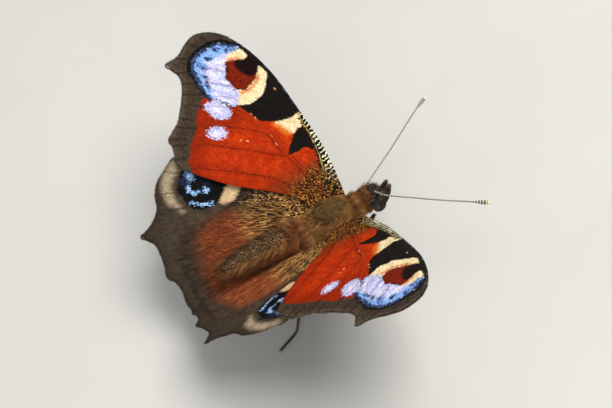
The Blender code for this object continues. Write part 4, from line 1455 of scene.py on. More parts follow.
@dataclass
class Wing:
    """One wing: a thin sheet with relief, scales and hair, held as in the photo."""

    plan: WingPlan
    side: Side
    hinge: Point
    rise: float
    nose_down: float
    sweep: float

    @property
    def name(self) -> str:
        """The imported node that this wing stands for."""
        return "%s_%s" % (self.plan.kind, self.side.word)

    def place(self, at: np.ndarray) -> np.ndarray:
        """Turn wing coordinates into the row frame.

        Args:
            at: Out, back and height in millimetres in each row.

        Returns:
            Row-frame places in metres.
        """
        turn, rise, pitch = map(math.radians, (self.sweep, self.rise, self.nose_down))
        out_axis = np.array([math.cos(rise), 0.0, math.sin(rise)])
        back_axis = np.array([0.0, math.cos(pitch), math.sin(pitch)])
        up_axis = unit(np.cross(out_axis, back_axis)[None])[0]
        back_axis = np.cross(up_axis, out_axis)
        out = at[:, 0] * math.cos(turn) + at[:, 1] * math.sin(turn)
        back = at[:, 1] * math.cos(turn) - at[:, 0] * math.sin(turn)
        body = (np.asarray(self.hinge) + out[:, None] * out_axis + back[:, None] * back_axis
                + at[:, 2:3] * up_axis)
        return BODY_FRAME.placer(self.side)(body)

    def build(self, sheet: bmesh.types.BMesh, materials: Sequence[Material]) -> None:
        """Make the wing's sheet from the flat drawing.

        Args:
            sheet: The flat bmesh of this kind of wing.
            materials: The finishes of the upper and the under side.
        """
        mesh = bpy.data.meshes.new(self.name + "_sheet")
        sheet.to_mesh(mesh)
        at = mesh_points(mesh)
        lay_vectors(mesh, "place", at)
        lay_paints(mesh, self.plan.paints, at)
        lay_paints(mesh, UNDER_PAINTS, at)
        at[:, 2] = self.plan.height(at[:, :2])
        set_points(mesh, self.place(at))
        if self.side is Side.RIGHT:
            mesh.flip_normals()
        mesh.shade_smooth()
        piece = add_piece(self.name + "_sheet", mesh, materials, [self.name])
        wall = piece.modifiers.new("membrane", "SOLIDIFY")
        wall.thickness = self.plan.thickness * MM
        wall.offset = -1.0
        wall.material_offset = 1

    def hair(self, name: str, area: Patch, count: int, seed: int, length: Point, width: float,
             rise: float, material: Material) -> None:
        """Grow hair on an area of the wing's upper side.

        Args:
            name: What the hair is called after the wing's name.
            area: Where it grows.
            count: The number of tufts.
            seed: The seed of the random draws.
            length: Shortest and longest tuft.
            width: The tufts' width.
            rise: How steeply they leave the wing, in degrees.
            material: Their finish.
        """
        rng = np.random.default_rng(seed)
        border = np.asarray(area.border)
        low, high = border.min(axis=0), border.max(axis=0)
        outline = self.plan.outline()
        draw = low + rng.random((count * 12, 2)) * (high - low)
        deep = area.depth(draw) + rng.normal(0.0, 0.5, len(draw))
        keep = (deep > 0.0) & inside_border(draw, outline)
        root = draw[keep][:count]
        total = len(root)
        lie = unit(root - np.asarray(self.plan.lie_from))
        turn = rng.normal(0.0, math.radians(7.0), total)
        lie = np.column_stack([lie[:, 0] * np.cos(turn) - lie[:, 1] * np.sin(turn),
                               lie[:, 1] * np.cos(turn) + lie[:, 0] * np.sin(turn),
                               np.zeros(total)])
        tufts = Tufts(
            root=np.column_stack([root, self.plan.height(root)]), lie=lie,
            normal=np.tile((0.0, 0.0, 1.0), (total, 1)),
            length=rng.uniform(*length, total), width=width * rng.uniform(0.7, 1.25, total),
            rise_deg=rise * rng.uniform(0.6, 1.5, total), droop_deg=rng.uniform(-3.0, 4.0, total),
            unwrap=(root + (3.0, 5.0)) / (34.0, 28.0),
            colour_at=np.column_stack([root, np.zeros(total)]))
        piece_name = "%s_%s" % (self.name, name)
        mesh = grow_coat(piece_name, tufts, self.plan.paints, seed, self.side, self.place)
        add_piece(piece_name, mesh, [material])

    def fringe(self, seed: int, material: Material) -> None:
        """Grow the short fringe of scales along the outer margin.

        Args:
            seed: The seed of the random draws.
            material: The fringe's finish.
        """
        rng = np.random.default_rng(seed)
        plan = self.plan
        outer = plan.fronts[-9 if plan.kind == "hindwing" else -6:]
        line = smooth_line((*outer, *plan.margins), 60)
        steps = np.diff(line, axis=0)
        total = len(steps)
        outward = unit(np.column_stack([steps[:, 1], -steps[:, 0]]))
        lie = np.column_stack([outward, np.zeros(total)])
        lie = unit(lie + rng.normal(0.0, 0.16, (total, 3)) * (1.0, 1.0, 0.4))
        root = line[:-1] - outward * 0.06
        tufts = Tufts(
            root=np.column_stack([root, plan.height(root) - 0.04]), lie=lie,
            normal=np.tile((0.0, 0.0, 1.0), (total, 1)), length=rng.uniform(0.14, 0.34, total),
            width=rng.uniform(0.07, 0.12, total), rise_deg=rng.uniform(-4.0, 6.0, total),
            droop_deg=rng.uniform(-8.0, 4.0, total), unwrap=(root + (3.0, 5.0)) / (34.0, 28.0),
            colour_at=np.column_stack([root, np.zeros(total)]))
        name = self.name + "_fringe"
        mesh = grow_coat(name, tufts, plan.paints, seed, self.side, self.place)
        add_piece(name, mesh, [material])


# Body


BODY_PAINTS = (
    Paint("bd_oval", srgb(110, 84, 48), srgb(80, 62, 38), (
        Spot((0.0, -1.05, 2.9), (1.6, 2.8, 2.2)),
    ), 0.4, 2.5, 0.92, blotch=0.5),
    Paint("bd_seam", srgb(142, 108, 62), srgb(116, 86, 50), (
        Stroke(((0.0, -3.4), (0.0, 0.8)), 0.2),
    ), 0.14, 1.0, 0.6),
    Paint("bd_arcs", srgb(40, 31, 21), srgb(56, 42, 28), (
        Stroke(((-1.5, -0.9), (-1.3, 0.3), (-0.7, 0.95), (0.0, 1.1), (0.7, 0.95), (1.3, 0.3),
            (1.5, -0.9)), 0.3),
        Stroke(((-1.0, 1.2), (-0.5, 1.85), (0.0, 2.0), (0.5, 1.85), (1.0, 1.2)), 0.24),
    ), 0.16, 1.2, 0.8),
    Paint("bd_collar", srgb(124, 76, 28), srgb(98, 58, 20), (
        Spot((0.0, -4.9, 0.6), (2.6, 1.45, 2.8)),
    ), 0.35, 1.8, 0.9, blotch=0.5),
    Paint("bd_neck_line", srgb(48, 34, 20), srgb(66, 46, 26), (
        Stroke(((-1.8, -3.0), (-0.9, -3.7), (0.0, -3.85), (0.9, -3.7), (1.8, -3.0)), 0.3),
    ), 0.18, 1.2, 0.7),
    Paint("bd_head", srgb(30, 24, 22), srgb(56, 45, 40), (
        Spot((0.0, -7.5, 0.0), (2.8, 1.95, 3.0)),
    ), 0.3, 2.4, 0.97, blotch=0.5),
    Paint("bd_head_pale", srgb(140, 126, 128), srgb(106, 92, 88), (
        Spot((0.0, -7.3, 0.0), (2.8, 1.9, 3.0)),
    ), 0.3, 1.0, 0.9, flecks=0.07),
    Paint("bd_under", srgb(70, 56, 44), srgb(50, 40, 33), (
        Spot((0.0, 0.0, -2.9), (4.2, 6.2, 2.9)),
    ), 0.5, 1.5, 0.9),
    Paint("bd_flanks", srgb(140, 82, 46), srgb(108, 66, 40), (
        Spot((0.0, 9.4, 1.4), (3.4, 7.2, 2.6)),
    ), 0.6, 1.5, 0.9, blotch=0.9),
    Paint("bd_abdomen", srgb(84, 68, 52), srgb(60, 49, 39), (
        Spot((0.35, 9.8, 2.9), (1.25, 5.8, 1.5)),
    ), 0.35, 1.5, 0.9, blotch=0.6),
    Paint("bd_rings", srgb(62, 48, 36), srgb(78, 60, 44), tuple(Stroke(((-2.0, y), (2.0, y)), 0.3) for y
        in (5.6, 6.9, 8.2, 9.5, 10.8, 12.1, 13.4)), 0.2, 1.2, 0.5, blotch=0.4),
    Paint("bd_gold", srgb(170, 134, 80), srgb(140, 106, 62), (
        Spot((0.5, 9.0, 2.4), (1.9, 6.0, 2.0)),
    ), 0.3, 1.0, 1.0, flecks=0.16),
    Paint("bd_soot", srgb(30, 24, 20), srgb(52, 40, 30), (
        Spot((0.4, 9.6, 2.4), (1.9, 6.0, 2.0)),
    ), 0.3, 1.0, 1.0, flecks=-0.22),
)


@dataclass(frozen=True)
class BodyCoat:
    """Where a stretch of the body's hair grows and how it lies.

    Attributes:
        count: The number of tufts.
        reach: Where the stretch starts and ends along the body.
        arc_deg: The least and greatest angle from the top, on both sides.
        length: Shortest and longest tuft.
        rise_deg: How steeply they leave the skin.
        outward: How far the lie leans away from the midline, from 0 to 1.
        droop_deg: The angle at the tips, above the skin.
        course: 1 when the hair lies backwards, and -1 when it lies forwards.
    """

    name: str
    count: int
    seed: int
    reach: Point
    arc_deg: Point
    length: Point
    width: float
    rise_deg: float
    slot: str = "body_hair"
    outward: float = 0.0
    droop_deg: float = 0.0
    course: float = 1.0


BODY_COATS = (
    BodyCoat("thorax_coat", 14000, 101, (-4.1, 4.4), (0.0, 180.0), (0.38, 0.7), 0.064, 22.0,
             outward=0.15, droop_deg=4.0),
    BodyCoat("thorax_mane", 10000, 102, (-4.2, 4.3), (34.0, 115.0), (0.7, 1.5), 0.055, 24.0,
             outward=0.6),
    BodyCoat("abdomen_coat", 10000, 103, (4.0, 14.5), (0.0, 180.0), (0.25, 0.5), 0.07, 20.0),
    BodyCoat("flank_hair", 13000, 105, (3.2, 14.3), (52.0, 125.0), (1.2, 2.6), 0.055, 32.0,
             outward=0.9, droop_deg=-5.0),
    BodyCoat("rump_hair", 5000, 109, (2.5, 4.9), (0.0, 112.0), (1.2, 2.4), 0.06, 50.0,
             outward=0.5, droop_deg=20.0),
    BodyCoat("neck_ruff", 6500, 108, (-4.5, -3.5), (0.0, 180.0), (0.7, 1.4), 0.06, 62.0,
             "head_hair", droop_deg=52.0, course=-1.0),
    BodyCoat("nape_hair", 5000, 110, (-5.9, -4.4), (0.0, 180.0), (0.55, 1.15), 0.055, 58.0,
             "head_hair", droop_deg=34.0),
    BodyCoat("head_coat", 4500, 104, (-7.0, -5.4), (0.0, 180.0), (0.35, 0.8), 0.055, 54.0,
             "head_hair", droop_deg=40.0, course=-1.0),
    BodyCoat("crown_bristles", 620, 106, (-7.2, -5.3), (0.0, 58.0), (0.7, 1.4), 0.11, 68.0,
             "head_hair", droop_deg=62.0, course=-1.0),
    BodyCoat("face_coat", 3600, 107, (-7.3, -6.3), (0.0, 180.0), (0.5, 1.15), 0.08, 44.0,
             "head_hair", droop_deg=30.0, course=-1.0),
)


@dataclass
class Body:
    """Head, thorax and abdomen under one skin, with the coat that grows on it."""

    coat_depth: float = 0.3
    segments: int = 56
    thorax_half: Point = (2.6, 4.7, 2.55)
    thorax_z: float = 0.3
    head: tuple[Point, ...] = (
        (-7.32, 0.15, 0.10, 0.14), (-7.2, 0.15, 0.36, 0.46), (-6.85, 0.15, 0.84, 0.98),
        (-6.4, 0.15, 1.05, 1.16), (-5.95, 0.15, 1.10, 1.20), (-5.45, 0.15, 1.06, 1.14),
        (-5.05, 0.16, 0.90, 0.96), (-4.72, 0.20, 0.74, 0.78), (-4.4, 0.26, 0.72, 0.76))
    abdomen: tuple[Point, ...] = (
        (4.35, 0.85, 0.78), (5.0, 1.08, 0.98), (6.2, 1.32, 1.18), (8.0, 1.55, 1.28),
        (10.0, 1.70, 1.24), (12.0, 1.80, 1.06), (13.5, 1.85, 0.76), (14.3, 1.85, 0.42),
        (14.55, 1.85, 0.08))
    abdomen_segments: int = 8
    rings: np.ndarray = field(init=False)

    def __post_init__(self) -> None:
        """Work out the rings of the skin from nose to tail."""
        rows = [list(row) for row in self.head]
        for y in np.linspace(-4.05, 3.95, 15):
            scale = math.sqrt(1.0 - (y / self.thorax_half[1]) ** 2)
            rows.append([y, self.thorax_z, self.thorax_half[0] * scale - self.coat_depth,
                         self.thorax_half[2] * scale - self.coat_depth])
        rows += [[y, z, r, r * 0.96] for y, z, r in self.abdomen]
        self.rings = smooth_line(rows, 4)
        start, end = self.abdomen[0][0], self.abdomen[-1][0]
        along = (self.rings[:, 0] - start) / (end - start) * self.abdomen_segments
        step = np.where(along > 0, (along - np.floor(along) - 0.5) * 0.05, 0.0)
        self.rings[:, 2:] *= (1.0 + step)[:, None]
        self.rings[:, 2:] = np.maximum(self.rings[:, 2:], 0.05)

    def surface(self, y: np.ndarray, turn: np.ndarray) -> tuple[np.ndarray, np.ndarray]:
        """Find places on the skin.

        Args:
            y: How far back each place lies.
            turn: The angle round the body from the top, in radians.

        Returns:
            The places and the outward directions.
        """
        def ring(at: np.ndarray) -> np.ndarray:
            """The skin's point of each angle at other distances back."""
            z, wide, high = (np.interp(at, self.rings[:, 0], self.rings[:, k]) for k in (1, 2, 3))
            return np.column_stack([wide * np.sin(turn), at, z + high * np.cos(turn)])

        here = ring(y)
        ahead = ring(y + 0.08) - ring(y - 0.08)
        wide = np.interp(y, self.rings[:, 0], self.rings[:, 2])
        high = np.interp(y, self.rings[:, 0], self.rings[:, 3])
        around = np.column_stack([wide * np.cos(turn), np.zeros(len(y)), -high * np.sin(turn)])
        outward = unit(np.cross(ahead, around))
        facing = np.sum(outward * np.column_stack([np.sin(turn), np.zeros(len(y)),
                                                   np.cos(turn)]), axis=1)
        return here, outward * np.where(facing < 0, -1.0, 1.0)[:, None]

    def build(self, material: Material) -> None:
        """Make the skin.

        Args:
            material: The skin's finish.
        """
        turn = Matrix.Rotation(math.radians(90), 4, "X")
        bm = bmesh.new()
        bridge_rings(bm, [Matrix.Translation((0.0, y, z)) @ turn @ Matrix.Diagonal((wide, high, 1, 1))
                          for y, z, wide, high in self.rings], self.segments)
        mesh = bm_to_mesh(bm, "body_skin")
        at = mesh_points(mesh)
        lay_vectors(mesh, "place", at)
        lay_paints(mesh, BODY_PAINTS, at)
        settle(mesh, Side.LEFT)
        add_piece("body_skin", mesh, [material], ["thorax", "abdomen", "head"])

    def coat(self, plan: BodyCoat, material: Material) -> None:
        """Grow hair on a stretch of the body.

        Args:
            plan: Where it grows and how it lies.
            material: Its finish.
        """
        rng = np.random.default_rng(plan.seed)
        y = rng.uniform(*plan.reach, plan.count * 4)
        wide = np.interp(y, self.rings[:, 0], self.rings[:, 2])
        keep = rng.random(len(y)) < wide / wide.max()
        y = y[keep][:plan.count]
        total = len(y)
        turn = np.radians(rng.uniform(*plan.arc_deg, total)) * rng.choice((-1.0, 1.0), total)
        root, normal = self.surface(y, turn)
        backward = np.tile((0.0, plan.course, 0.0), (total, 1))
        backward[:, 0] = plan.outward * np.sign(turn) * np.minimum(1.0, np.abs(turn))
        backward += rng.normal(0.0, 0.13, (total, 3))
        lie = unit(backward - normal * np.sum(backward * normal, axis=1, keepdims=True))
        tufts = Tufts(
            root=root, lie=lie, normal=normal, length=rng.uniform(*plan.length, total),
            width=plan.width * rng.uniform(0.7, 1.25, total),
            rise_deg=plan.rise_deg * rng.uniform(0.6, 1.4, total),
            droop_deg=plan.droop_deg + rng.normal(0.0, 6.0, total),
            unwrap=np.column_stack([turn / (2 * math.pi) * 0.94 + 0.5, (y + 8.0) / 24.0]),
            colour_at=root)
        mesh = grow_coat(plan.name, tufts, BODY_PAINTS, plan.seed)
        add_piece(plan.name, mesh, [material])


LIMB_STEPS = 150


@dataclass
class Eye:
    """One compound eye, set into the side of the head."""

    side: Side
    centre: Point = (1.02, -6.05, 0.38)
    radii: Point = (0.60, 0.92, 0.97)

    def build(self, material: Material) -> None:
        """Make the eye.

        Args:
            material: The eye's finish.
        """
        bm = bmesh.new()
        place = Matrix.Translation(self.centre) @ Matrix.Diagonal((*self.radii, 1.0))
        bmesh.ops.create_icosphere(bm, subdivisions=5, radius=1.0, matrix=place)
        mesh = bm_to_mesh(bm, "eye")
        lay_vectors(mesh, "place", mesh_points(mesh))
        settle(mesh, self.side)
        name = "eye_%s" % self.side.word
        add_piece(name + "_dome", mesh, [material], [name])


@dataclass
class Feeler:
    """One antenna: a thin ringed shaft with a dark club and a pale tip."""

    side: Side
    left: tuple[Point, ...] = ((0.60, -6.35, 1.1), (0.70, -6.6, 1.7), (0.85, -6.85, 1.95),
                               (1.77, -8.48, 2.05), (3.69, -12.05, 2.3), (5.59, -15.0, 2.3),
                               (7.51, -17.74, 2.0), (8.78, -19.82, 1.7))
    right: tuple[Point, ...] = ((0.60, -6.35, 1.1), (0.74, -6.6, 1.6), (1.0, -6.8, 1.85),
                                (2.52, -7.57, 1.97), (4.96, -9.85, 2.1), (7.81, -12.69, 2.1),
                                (9.78, -15.06, 1.9), (11.56, -17.32, 1.6))
    shaft: float = 0.105
    club: float = 0.27
    club_start: float = 0.86
    ring_length: float = 0.36

    def build(self, material: Material) -> None:
        """Make the antenna.

        Args:
            material: Its finish.
        """
        path = smooth_line(self.left if self.side is Side.LEFT else self.right, 28)
        along = run_along(path)
        share = along / along[-1]
        swell = np.clip((share - self.club_start) / (1.0 - self.club_start), 0.0, 1.0)
        radius = self.shaft + (self.club - self.shaft) * np.sin(swell * 0.82 * math.pi) ** 1.2
        notch = 0.5 + 0.5 * np.cos(along / self.ring_length * 2 * math.pi)
        radius *= 1.0 - 0.16 * notch ** 3
        radius *= np.where(share < 0.015, 1.7, 1.0)
        radius[-3:] *= (0.85, 0.6, 0.25)
        name = "antenna_%s" % self.side.word
        tube_piece(name + "_ringed", path, radius, 12, self.side, material, name)


@dataclass
class Tongue:
    """The coiled tongue under the head."""

    centre: Point = (0.0, -7.05, -2.3)
    outer: float = 0.84
    inner: float = 0.1
    turns: float = 2.7
    radius: float = 0.155

    def build(self, material: Material) -> None:
        """Make the tongue.

        Args:
            material: Its finish.
        """
        share = np.linspace(0.0, 1.0, LIMB_STEPS)
        angle = math.radians(150.0) + 2 * math.pi * self.turns * share
        reach = self.outer + (self.inner - self.outer) * share
        path = np.column_stack([np.zeros(LIMB_STEPS), self.centre[1] - reach * np.cos(angle),
                                self.centre[2] + reach * np.sin(angle)])
        rise = smooth_line(((0.0, -6.7, -0.8), tuple(path[0])), 6)[:-1]
        path = np.vstack([rise, path])
        radii = self.radius * (1.0 - 0.45 * np.linspace(0.0, 1.0, len(path)))
        tube_piece("proboscis_coil", path, radii, 14, Side.LEFT, material, "proboscis")


def hair_on_tube(path: np.ndarray, radius: np.ndarray, count: int, rng: np.random.Generator,
                 length: Point, width: float, rise: float, column: float) -> Tufts:
    """Scatter tufts on a tube, lying towards its far end.

    Args:
        path: The tube's centre line.
        radius: Its radius at each point of the line.
        count: The number of tufts.
        rng: The source of random draws.
        length: Shortest and longest tuft.
        width: The tufts' width.
        rise: How steeply they leave the tube, in degrees.
        column: Where this tube's strip starts on the unwrap, from 0 to 1.

    Returns:
        The tufts.
    """
    share = rng.uniform(0.02, 0.98, count)
    centre = points_on(path, share)
    lie = unit(points_on(path, share + 0.02) - points_on(path, share - 0.02))
    side = unit(np.cross(lie, np.tile((0.0, 0.0, 1.0), (count, 1)) + 1e-3))
    above = np.cross(side, lie)
    turn = rng.uniform(0.0, 2 * math.pi, count)
    normal = side * np.cos(turn)[:, None] + above * np.sin(turn)[:, None]
    along = run_along(path)
    reach = np.interp(share, along / along[-1], radius)
    return Tufts(
        root=centre + normal * reach[:, None], lie=lie, normal=normal,
        length=rng.uniform(*length, count), width=width * rng.uniform(0.7, 1.2, count),
        rise_deg=rise * rng.uniform(0.5, 1.5, count), droop_deg=rng.uniform(0.0, 8.0, count),
        unwrap=np.column_stack([column + turn / (2 * math.pi) * 0.11, 0.03 + share * 0.94]),
        colour_at=centre)


DARK_HAIR = (
    Paint("lg_pale", srgb(120, 104, 84), srgb(92, 78, 62), (
        Spot((0.0, 0.0, -4.0), (30.0, 30.0, 30.0)),
    ), 0.1, 1.0, 1.0, 0.12),
)


@dataclass
class Palp:
    """One hairy palp, which points forwards and up before the face."""

    side: Side
    route: tuple[Point, ...] = ((0.70, -6.4, -0.9), (0.72, -7.0, -1.0), (0.68, -7.6, -0.72),
                                (0.58, -8.2, -0.12), (0.46, -8.75, 0.62))

    def build(self, skin: Material, hair: Material, seed: int) -> None:
        """Make the palp and its hair.

        Args:
            skin: The finish of the palp itself.
            hair: The finish of its hair.
            seed: The seed of the random draws.
        """
        path = smooth_line(self.route, 10)
        share = np.linspace(0.0, 1.0, len(path))
        radius = 0.17 + 0.12 * np.sin(share * math.pi) - 0.15 * share ** 3
        name = "palp_%s" % self.side.word
        tube_piece(name + "_skin", path, radius, 14, self.side, skin, name)
        rng = np.random.default_rng(seed)
        tufts = hair_on_tube(path, radius, 2200, rng, (0.4, 0.85), 0.055, 32.0, 0.1)
        coat = grow_coat(name + "_coat", tufts, DARK_HAIR, seed, self.side)
        add_piece(name + "_coat", coat, [hair])


@dataclass
class Leg:
    """One walking leg as a single limb from hip to claws, standing on the floor."""

    kind: str
    side: Side
    hip: Point
    knee: Point
    ankle: Point
    foot: Point
    toe: Point
    floor_depth: float = 7.0
    femur: float = 0.36
    tibia: float = 0.25
    tarsus: float = 0.17
    bend: float = 0.8

    def route(self) -> tuple[np.ndarray, np.ndarray]:
        """The leg's centre line and its radius at each point.

        Returns:
            The points of the line, and the radii.
        """
        level = self.tarsus - self.floor_depth
        corners = [np.array(p, float) for p in (self.hip, self.knee, self.ankle)]
        corners += [np.array((*self.foot, level)), np.array((*self.toe, level))]
        points = [corners[0]]
        for before, corner, after in zip(corners, corners[1:], corners[2:]):
            into, out = before - corner, after - corner
            into *= min(self.bend / np.linalg.norm(into), 0.45)
            out *= min(self.bend / np.linalg.norm(out), 0.45)
            points += [corner + into * (1 - t) ** 2 + out * t ** 2 for t in (0, 0.25, 0.5, 0.75, 1)]
        points.append(corners[-1])
        line = np.array(points)
        share = np.linspace(0.0, 1.0, LIMB_STEPS)
        line = points_on(line, share)
        _, knee = distance_to_line(np.array([self.knee]), line)
        _, ankle = distance_to_line(np.array([self.ankle]), line)
        marks = (0.0, knee[0] * 0.45, knee[0] - 0.02, knee[0], knee[0] + 0.03, ankle[0] - 0.02,
                 ankle[0], ankle[0] + 0.02, 1.0)
        sizes = (self.femur * 0.8, self.femur, self.femur * 0.74, self.tibia * 0.86, self.tibia,
                 self.tibia * 0.84, self.tarsus * 0.86, self.tarsus, self.tarsus * 0.94)
        radius = np.interp(share, marks, sizes)
        parts = np.clip((share - ankle[0]) / (1.0 - ankle[0]), 0.0, 1.0) * 5.0
        joint = np.abs(parts - np.round(parts)) < 0.07
        radius = np.where(joint & (parts > 0.5) & (parts < 4.8), radius * 0.8, radius)
        return line, radius

    def build(self, skin: Material, hair: Material, seed: int) -> None:
        """Make the leg, its spurs and claws, and its scales.

        Args:
            skin: The finish of the leg itself.
            hair: The finish of its scales and spines.
            seed: The seed of the random draws.
        """
        line, radius = self.route()
        bm = loft_tube(line, radius, 16)
        ahead = line[-1] - line[-8]
        ahead /= np.linalg.norm(ahead)
        across = np.array([-ahead[1], ahead[0], 0.0])
        for lean in (-1.0, 1.0):
            start = line[-2] + across * lean * 0.05
            claw = smooth_line((start, start + ahead * 0.22 + across * lean * 0.14,
                                start + ahead * 0.34 + across * lean * 0.16 - (0, 0, 0.13)), 5)
            loft_tube(claw, np.linspace(0.05, 0.012, len(claw)), 6, bm)
        _, ankle = distance_to_line(np.array([self.ankle]), line)
        at = int(ankle[0] * (len(line) - 1)) - 3
        down = line[at + 2] - line[at - 2]
        down /= np.linalg.norm(down)
        for lean in (-1.0, 1.0):
            aside = np.cross(down, (0.0, 0.0, 1.0)) * lean
            spur = np.array([line[at] + aside * 0.12, line[at] + aside * 0.24 + down * 0.3,
                             line[at] + aside * 0.26 + down * 0.62])
            loft_tube(spur, np.array([0.06, 0.045, 0.012]), 6, bm)
        mesh = bm_to_mesh(bm, "leg")
        write_course(mesh, line)
        settle(mesh, self.side)
        name = "%s_%s" % (self.kind, self.side.word)
        nodes = ["%s_%s" % (name, part) for part in ("femur", "tibia", "tarsus")]
        add_piece(name, mesh, [skin], nodes)
        rng = np.random.default_rng(seed)
        tufts = hair_on_tube(line, radius, 2400, rng, (0.12, 0.3), 0.045, 12.0, 0.1)
        low = tufts.root[:, 2] + self.floor_depth
        keep = (low > 0.12) | (tufts.normal[:, 2] > 0.2)
        coat = grow_coat(name + "_scales", tufts.only(keep), DARK_HAIR, seed, self.side)
        add_piece(name + "_scales", coat, [hair])


@dataclass
class Foreleg:
    """One small brush-like foreleg, folded against the breast."""

    side: Side
    route: tuple[Point, ...] = ((0.85, -2.7, -1.5), (0.98, -3.2, -2.3), (1.25, -4.4, -2.5),
                                (1.0, -5.5, -2.15))

    def build(self, skin: Material, hair: Material, seed: int) -> None:
        """Make the foreleg and its brush.

        Args:
            skin: The finish of the leg itself.
            hair: The finish of its brush.
            seed: The seed of the random draws.
        """
        path = smooth_line(self.route, 12)
        radius = np.interp(np.linspace(0, 1, len(path)), (0, 0.3, 0.9, 1), (0.22, 0.2, 0.15, 0.05))
        name = "foreleg_%s" % self.side.word
        tube_piece(name + "_limb", path, radius, 12, self.side, skin, name)
        rng = np.random.default_rng(seed)
        tufts = hair_on_tube(path, radius, 2200, rng, (0.3, 0.7), 0.05, 26.0, 0.1)
        coat = grow_coat(name + "_brush", tufts, DARK_HAIR, seed, self.side)
        add_piece(name + "_brush", coat, [hair])


# Floor, light and camera


@dataclass(frozen=True)
class Lamp:
    """A square soft lamp that looks at the butterfly, with its measures in metres."""

    name: str
    place: Point
    size: float
    watts: float
    colour: Point = (1.0, 1.0, 1.0)

    def hang(self) -> None:
        """Put the lamp in its place."""
        lamp = bpy.data.lights.new(self.name, "AREA")
        lamp.size = self.size
        lamp.energy = self.watts
        lamp.color = self.colour
        stand = bpy.data.objects.new(self.name, lamp)
        stand.location = self.place
        stand.rotation_mode = "QUATERNION"
        stand.rotation_quaternion = (-Vector(self.place)).to_track_quat("-Z", "Y")
        bpy.context.scene.collection.objects.link(stand)


@dataclass(frozen=True)
class Studio:
    """A plain pale floor under soft lamps, and the camera at the photo's angle."""

    lamps: tuple[Lamp, ...] = (
        Lamp("key_lamp", (-0.15, -0.30, 0.62), 0.45, 4.2, (1.0, 0.98, 0.95)),
        Lamp("fill_lamp", (-0.50, 0.35, 0.40), 0.50, 1.2, (0.95, 0.97, 1.0)),
        Lamp("rim_lamp", (0.45, -0.25, 0.35), 0.40, 0.6))
    sky: Colour = (0.92, 0.94, 0.96, 1.0)
    sky_strength: float = 0.28
    floor_radius: float = 3.0
    right: Point = (-0.45170, -0.85849, -0.24281)
    up: Point = (0.62257, -0.49824, 0.60346)
    back: Point = (-0.63904, 0.12141, 0.75953)
    distance: float = 0.1818
    focal_px: float = 1447.62
    centre_px: Point = (22.56, 18.61)
    lens: float = 85.15

    def build_floor(self) -> None:
        """Make the floor as a wide disc at z = 0."""
        bm = bmesh.new()
        bmesh.ops.create_circle(bm, cap_ends=True, segments=96, radius=self.floor_radius)
        floor = bpy.data.objects.new("floor", bm_to_mesh(bm, "floor"))
        if floor.data.polygons[0].normal.z < 0:
            floor.data.flip_normals()
        floor.data.materials.append(FloorFinish().make())
        bpy.context.scene.collection.objects.link(floor)

    def build_lights(self) -> None:
        """Set the soft lamps and the pale surroundings."""
        for lamp in self.lamps:
            lamp.hang()
        world = bpy.data.worlds.new("surroundings")
        world.use_nodes = True
        background = world.node_tree.nodes["Background"]
        background.inputs["Color"].default_value = self.sky
        background.inputs["Strength"].default_value = self.sky_strength
        bpy.context.scene.world = world
        bpy.context.scene.view_settings.view_transform = "Standard"

    def build_camera(self) -> None:
        """Set the camera where the photo was taken from."""
        right, up, back = (Vector(v) for v in (self.right, self.up, self.back))
        aim = up * self.centre_px[1] - right * self.centre_px[0] - back * self.focal_px
        aim.normalize()
        top = (up - aim * up.dot(aim)).normalized()
        turn = Matrix((aim.cross(top), top, -aim)).transposed()
        lens = bpy.data.cameras.new("photo_camera")
        lens.lens = self.lens
        lens.sensor_width = 36.0
        lens.clip_start = 0.005
        lens.clip_end = 20.0
        camera = bpy.data.objects.new("photo_camera", lens)
        camera.location = Vector(BODY_FRAME.origin()) + back * self.distance
        camera.rotation_mode = "QUATERNION"
        camera.rotation_quaternion = turn.to_quaternion()
        bpy.context.scene.collection.objects.link(camera)
        bpy.context.scene.camera = camera


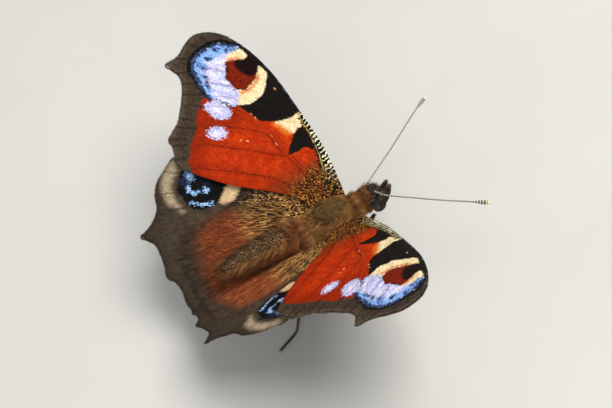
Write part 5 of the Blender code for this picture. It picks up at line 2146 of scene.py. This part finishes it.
@dataclass
class Butterfly:
    """The whole insect."""

    body: Body = field(default_factory=Body)

    def build_wings(self) -> None:
        """Make the four wings with their hair and fringes."""
        under = PaintedFinish("under_scales", srgb(40, 32, 28), srgb(26, 21, 19), UNDER_PAINTS,
                              ripples=0.35, sheen=0.15).make()
        poses = (
            (FOREWING, Side.LEFT, (1.5, -2.0, 0.8), 26.3, 4.2, -1.1),
            (FOREWING, Side.RIGHT, (1.5, -2.0, 0.8), 27.4, 4.2, 1.1),
            (HINDWING, Side.LEFT, (1.5, 1.5, -0.25), 29.3, -0.5, -0.65),
            (HINDWING, Side.RIGHT, (1.5, 1.5, -0.25), 29.1, -0.5, 0.65),
        )
        for plan in (FOREWING, HINDWING):
            scales = PaintedFinish(plan.kind + "_scales", plan.base, plan.other, plan.paints,
                                   lie_deg=plan.lie_deg).make()
            # the hair's colour carries painted light: the gain lifts it against the shade between the
            # tufts
            hair = PaintedFinish(plan.kind + "_hair", plan.base, plan.other, plan.paints,
                                 Grain.STRANDS, plan.lie_deg, sheen=0.02, streaks=0.2,
                                 gain=1.65).make()
            sheet = plan.sheet()
            for wing in (Wing(*pose) for pose in poses if pose[0] is plan):
                wing.build(sheet, [scales, under])
                seed = 11 if wing.side is Side.LEFT else 12
                wing.fringe(seed, hair)
                if plan is HINDWING:
                    long_area = Patch(((-1.0, 1.6), (3.0, 2.2), (5.8, 5.4), (6.8, 9.0), (6.8, 12.6),
                                       (5.2, 15.4), (2.6, 16.2), (-2.2, 16.0), (-2.4, 5.0)))
                    wing.hair("long_hair", long_area, 16000, seed + 20, (0.7, 1.9), 0.052, 9.0,
                              hair)
                    base_area = Patch(((-0.6, -1.4), (4.2, -0.8), (7.2, 2.4), (7.6, 5.0),
                                       (6.4, 8.4), (3.0, 8.0), (-0.4, 3.6)))
                    wing.hair("base_hair", base_area, 8000, seed + 40, (0.14, 0.28), 0.055, 16.0,
                              hair)
                else:
                    base_area = Patch(((-0.4, -1.4), (2.4, -1.6), (3.6, 0.0), (3.4, 2.0),
                                       (3.4, 3.4), (1.6, 3.4), (-0.2, 2.6)))
                    wing.hair("base_hair", base_area, 6500, seed + 60, (0.12, 0.24), 0.042, 20.0,
                              hair)
            sheet.free()

    def build_body(self) -> None:
        """Make the skin, its coat and what the head carries."""
        skin = PaintedFinish("body_skin", srgb(146, 106, 60), srgb(116, 82, 46), BODY_PAINTS).make()
        # the body hair's colour carries painted light: the gain lifts it against the shade between the
        # tufts
        hair = PaintedFinish("body_hair", srgb(162, 118, 68), srgb(130, 92, 52), BODY_PAINTS,
                             Grain.STRANDS, sheen=0.02, gain=1.5).make()
        self.body.build(skin)
        for plan in BODY_COATS:
            self.body.coat(plan, hair)
        eye = EyeFinish().make()
        feeler = HornFinish("feeler_horn", srgb(54, 47, 41), srgb(80, 70, 61),
                            ring=srgb(232, 226, 208), ring_period=0.36,
                            tip=srgb(255, 238, 180), tip_start=0.965).make()
        tongue = HornFinish("tongue_horn", srgb(40, 29, 22), srgb(58, 42, 30),
                            ring=srgb(40, 29, 22), ring_period=0.09).make()
        horn = HornFinish("leg_horn", srgb(58, 42, 32), srgb(82, 62, 46)).make()
        dark_hair = PaintedFinish("dark_hair", srgb(50, 40, 33), srgb(72, 58, 46), DARK_HAIR,
                                  Grain.STRANDS).make()
        Tongue().build(tongue)
        for side in Side:
            seed = 201 if side is Side.LEFT else 202
            Eye(side).build(eye)
            Feeler(side).build(feeler)
            Palp(side).build(horn, dark_hair, seed)
            Foreleg(side).build(horn, dark_hair, seed + 10)
            Leg("midleg", side, (1.35, -0.4, -1.0), (5.4, -2.2, -1.5), (8.1, -3.5, -5.2),
                (8.9, -3.9), (11.2, -5.0)).build(horn, dark_hair, seed + 20)
            Leg("hindleg", side, (1.3, 2.0, -0.9), (4.9, 5.2, -2.4), (6.7, 9.4, -5.2),
                (7.1, 10.2), (8.3, 13.2)).build(horn, dark_hair, seed + 30)


def main() -> None:
    logging.basicConfig(level=logging.INFO, format="%(message)s")
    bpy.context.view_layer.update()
    studio = Studio()
    studio.build_camera()
    studio.build_floor()
    studio.build_lights()
    butterfly = Butterfly()
    butterfly.build_wings()
    butterfly.build_body()


if __name__ == "__main__":
    main()
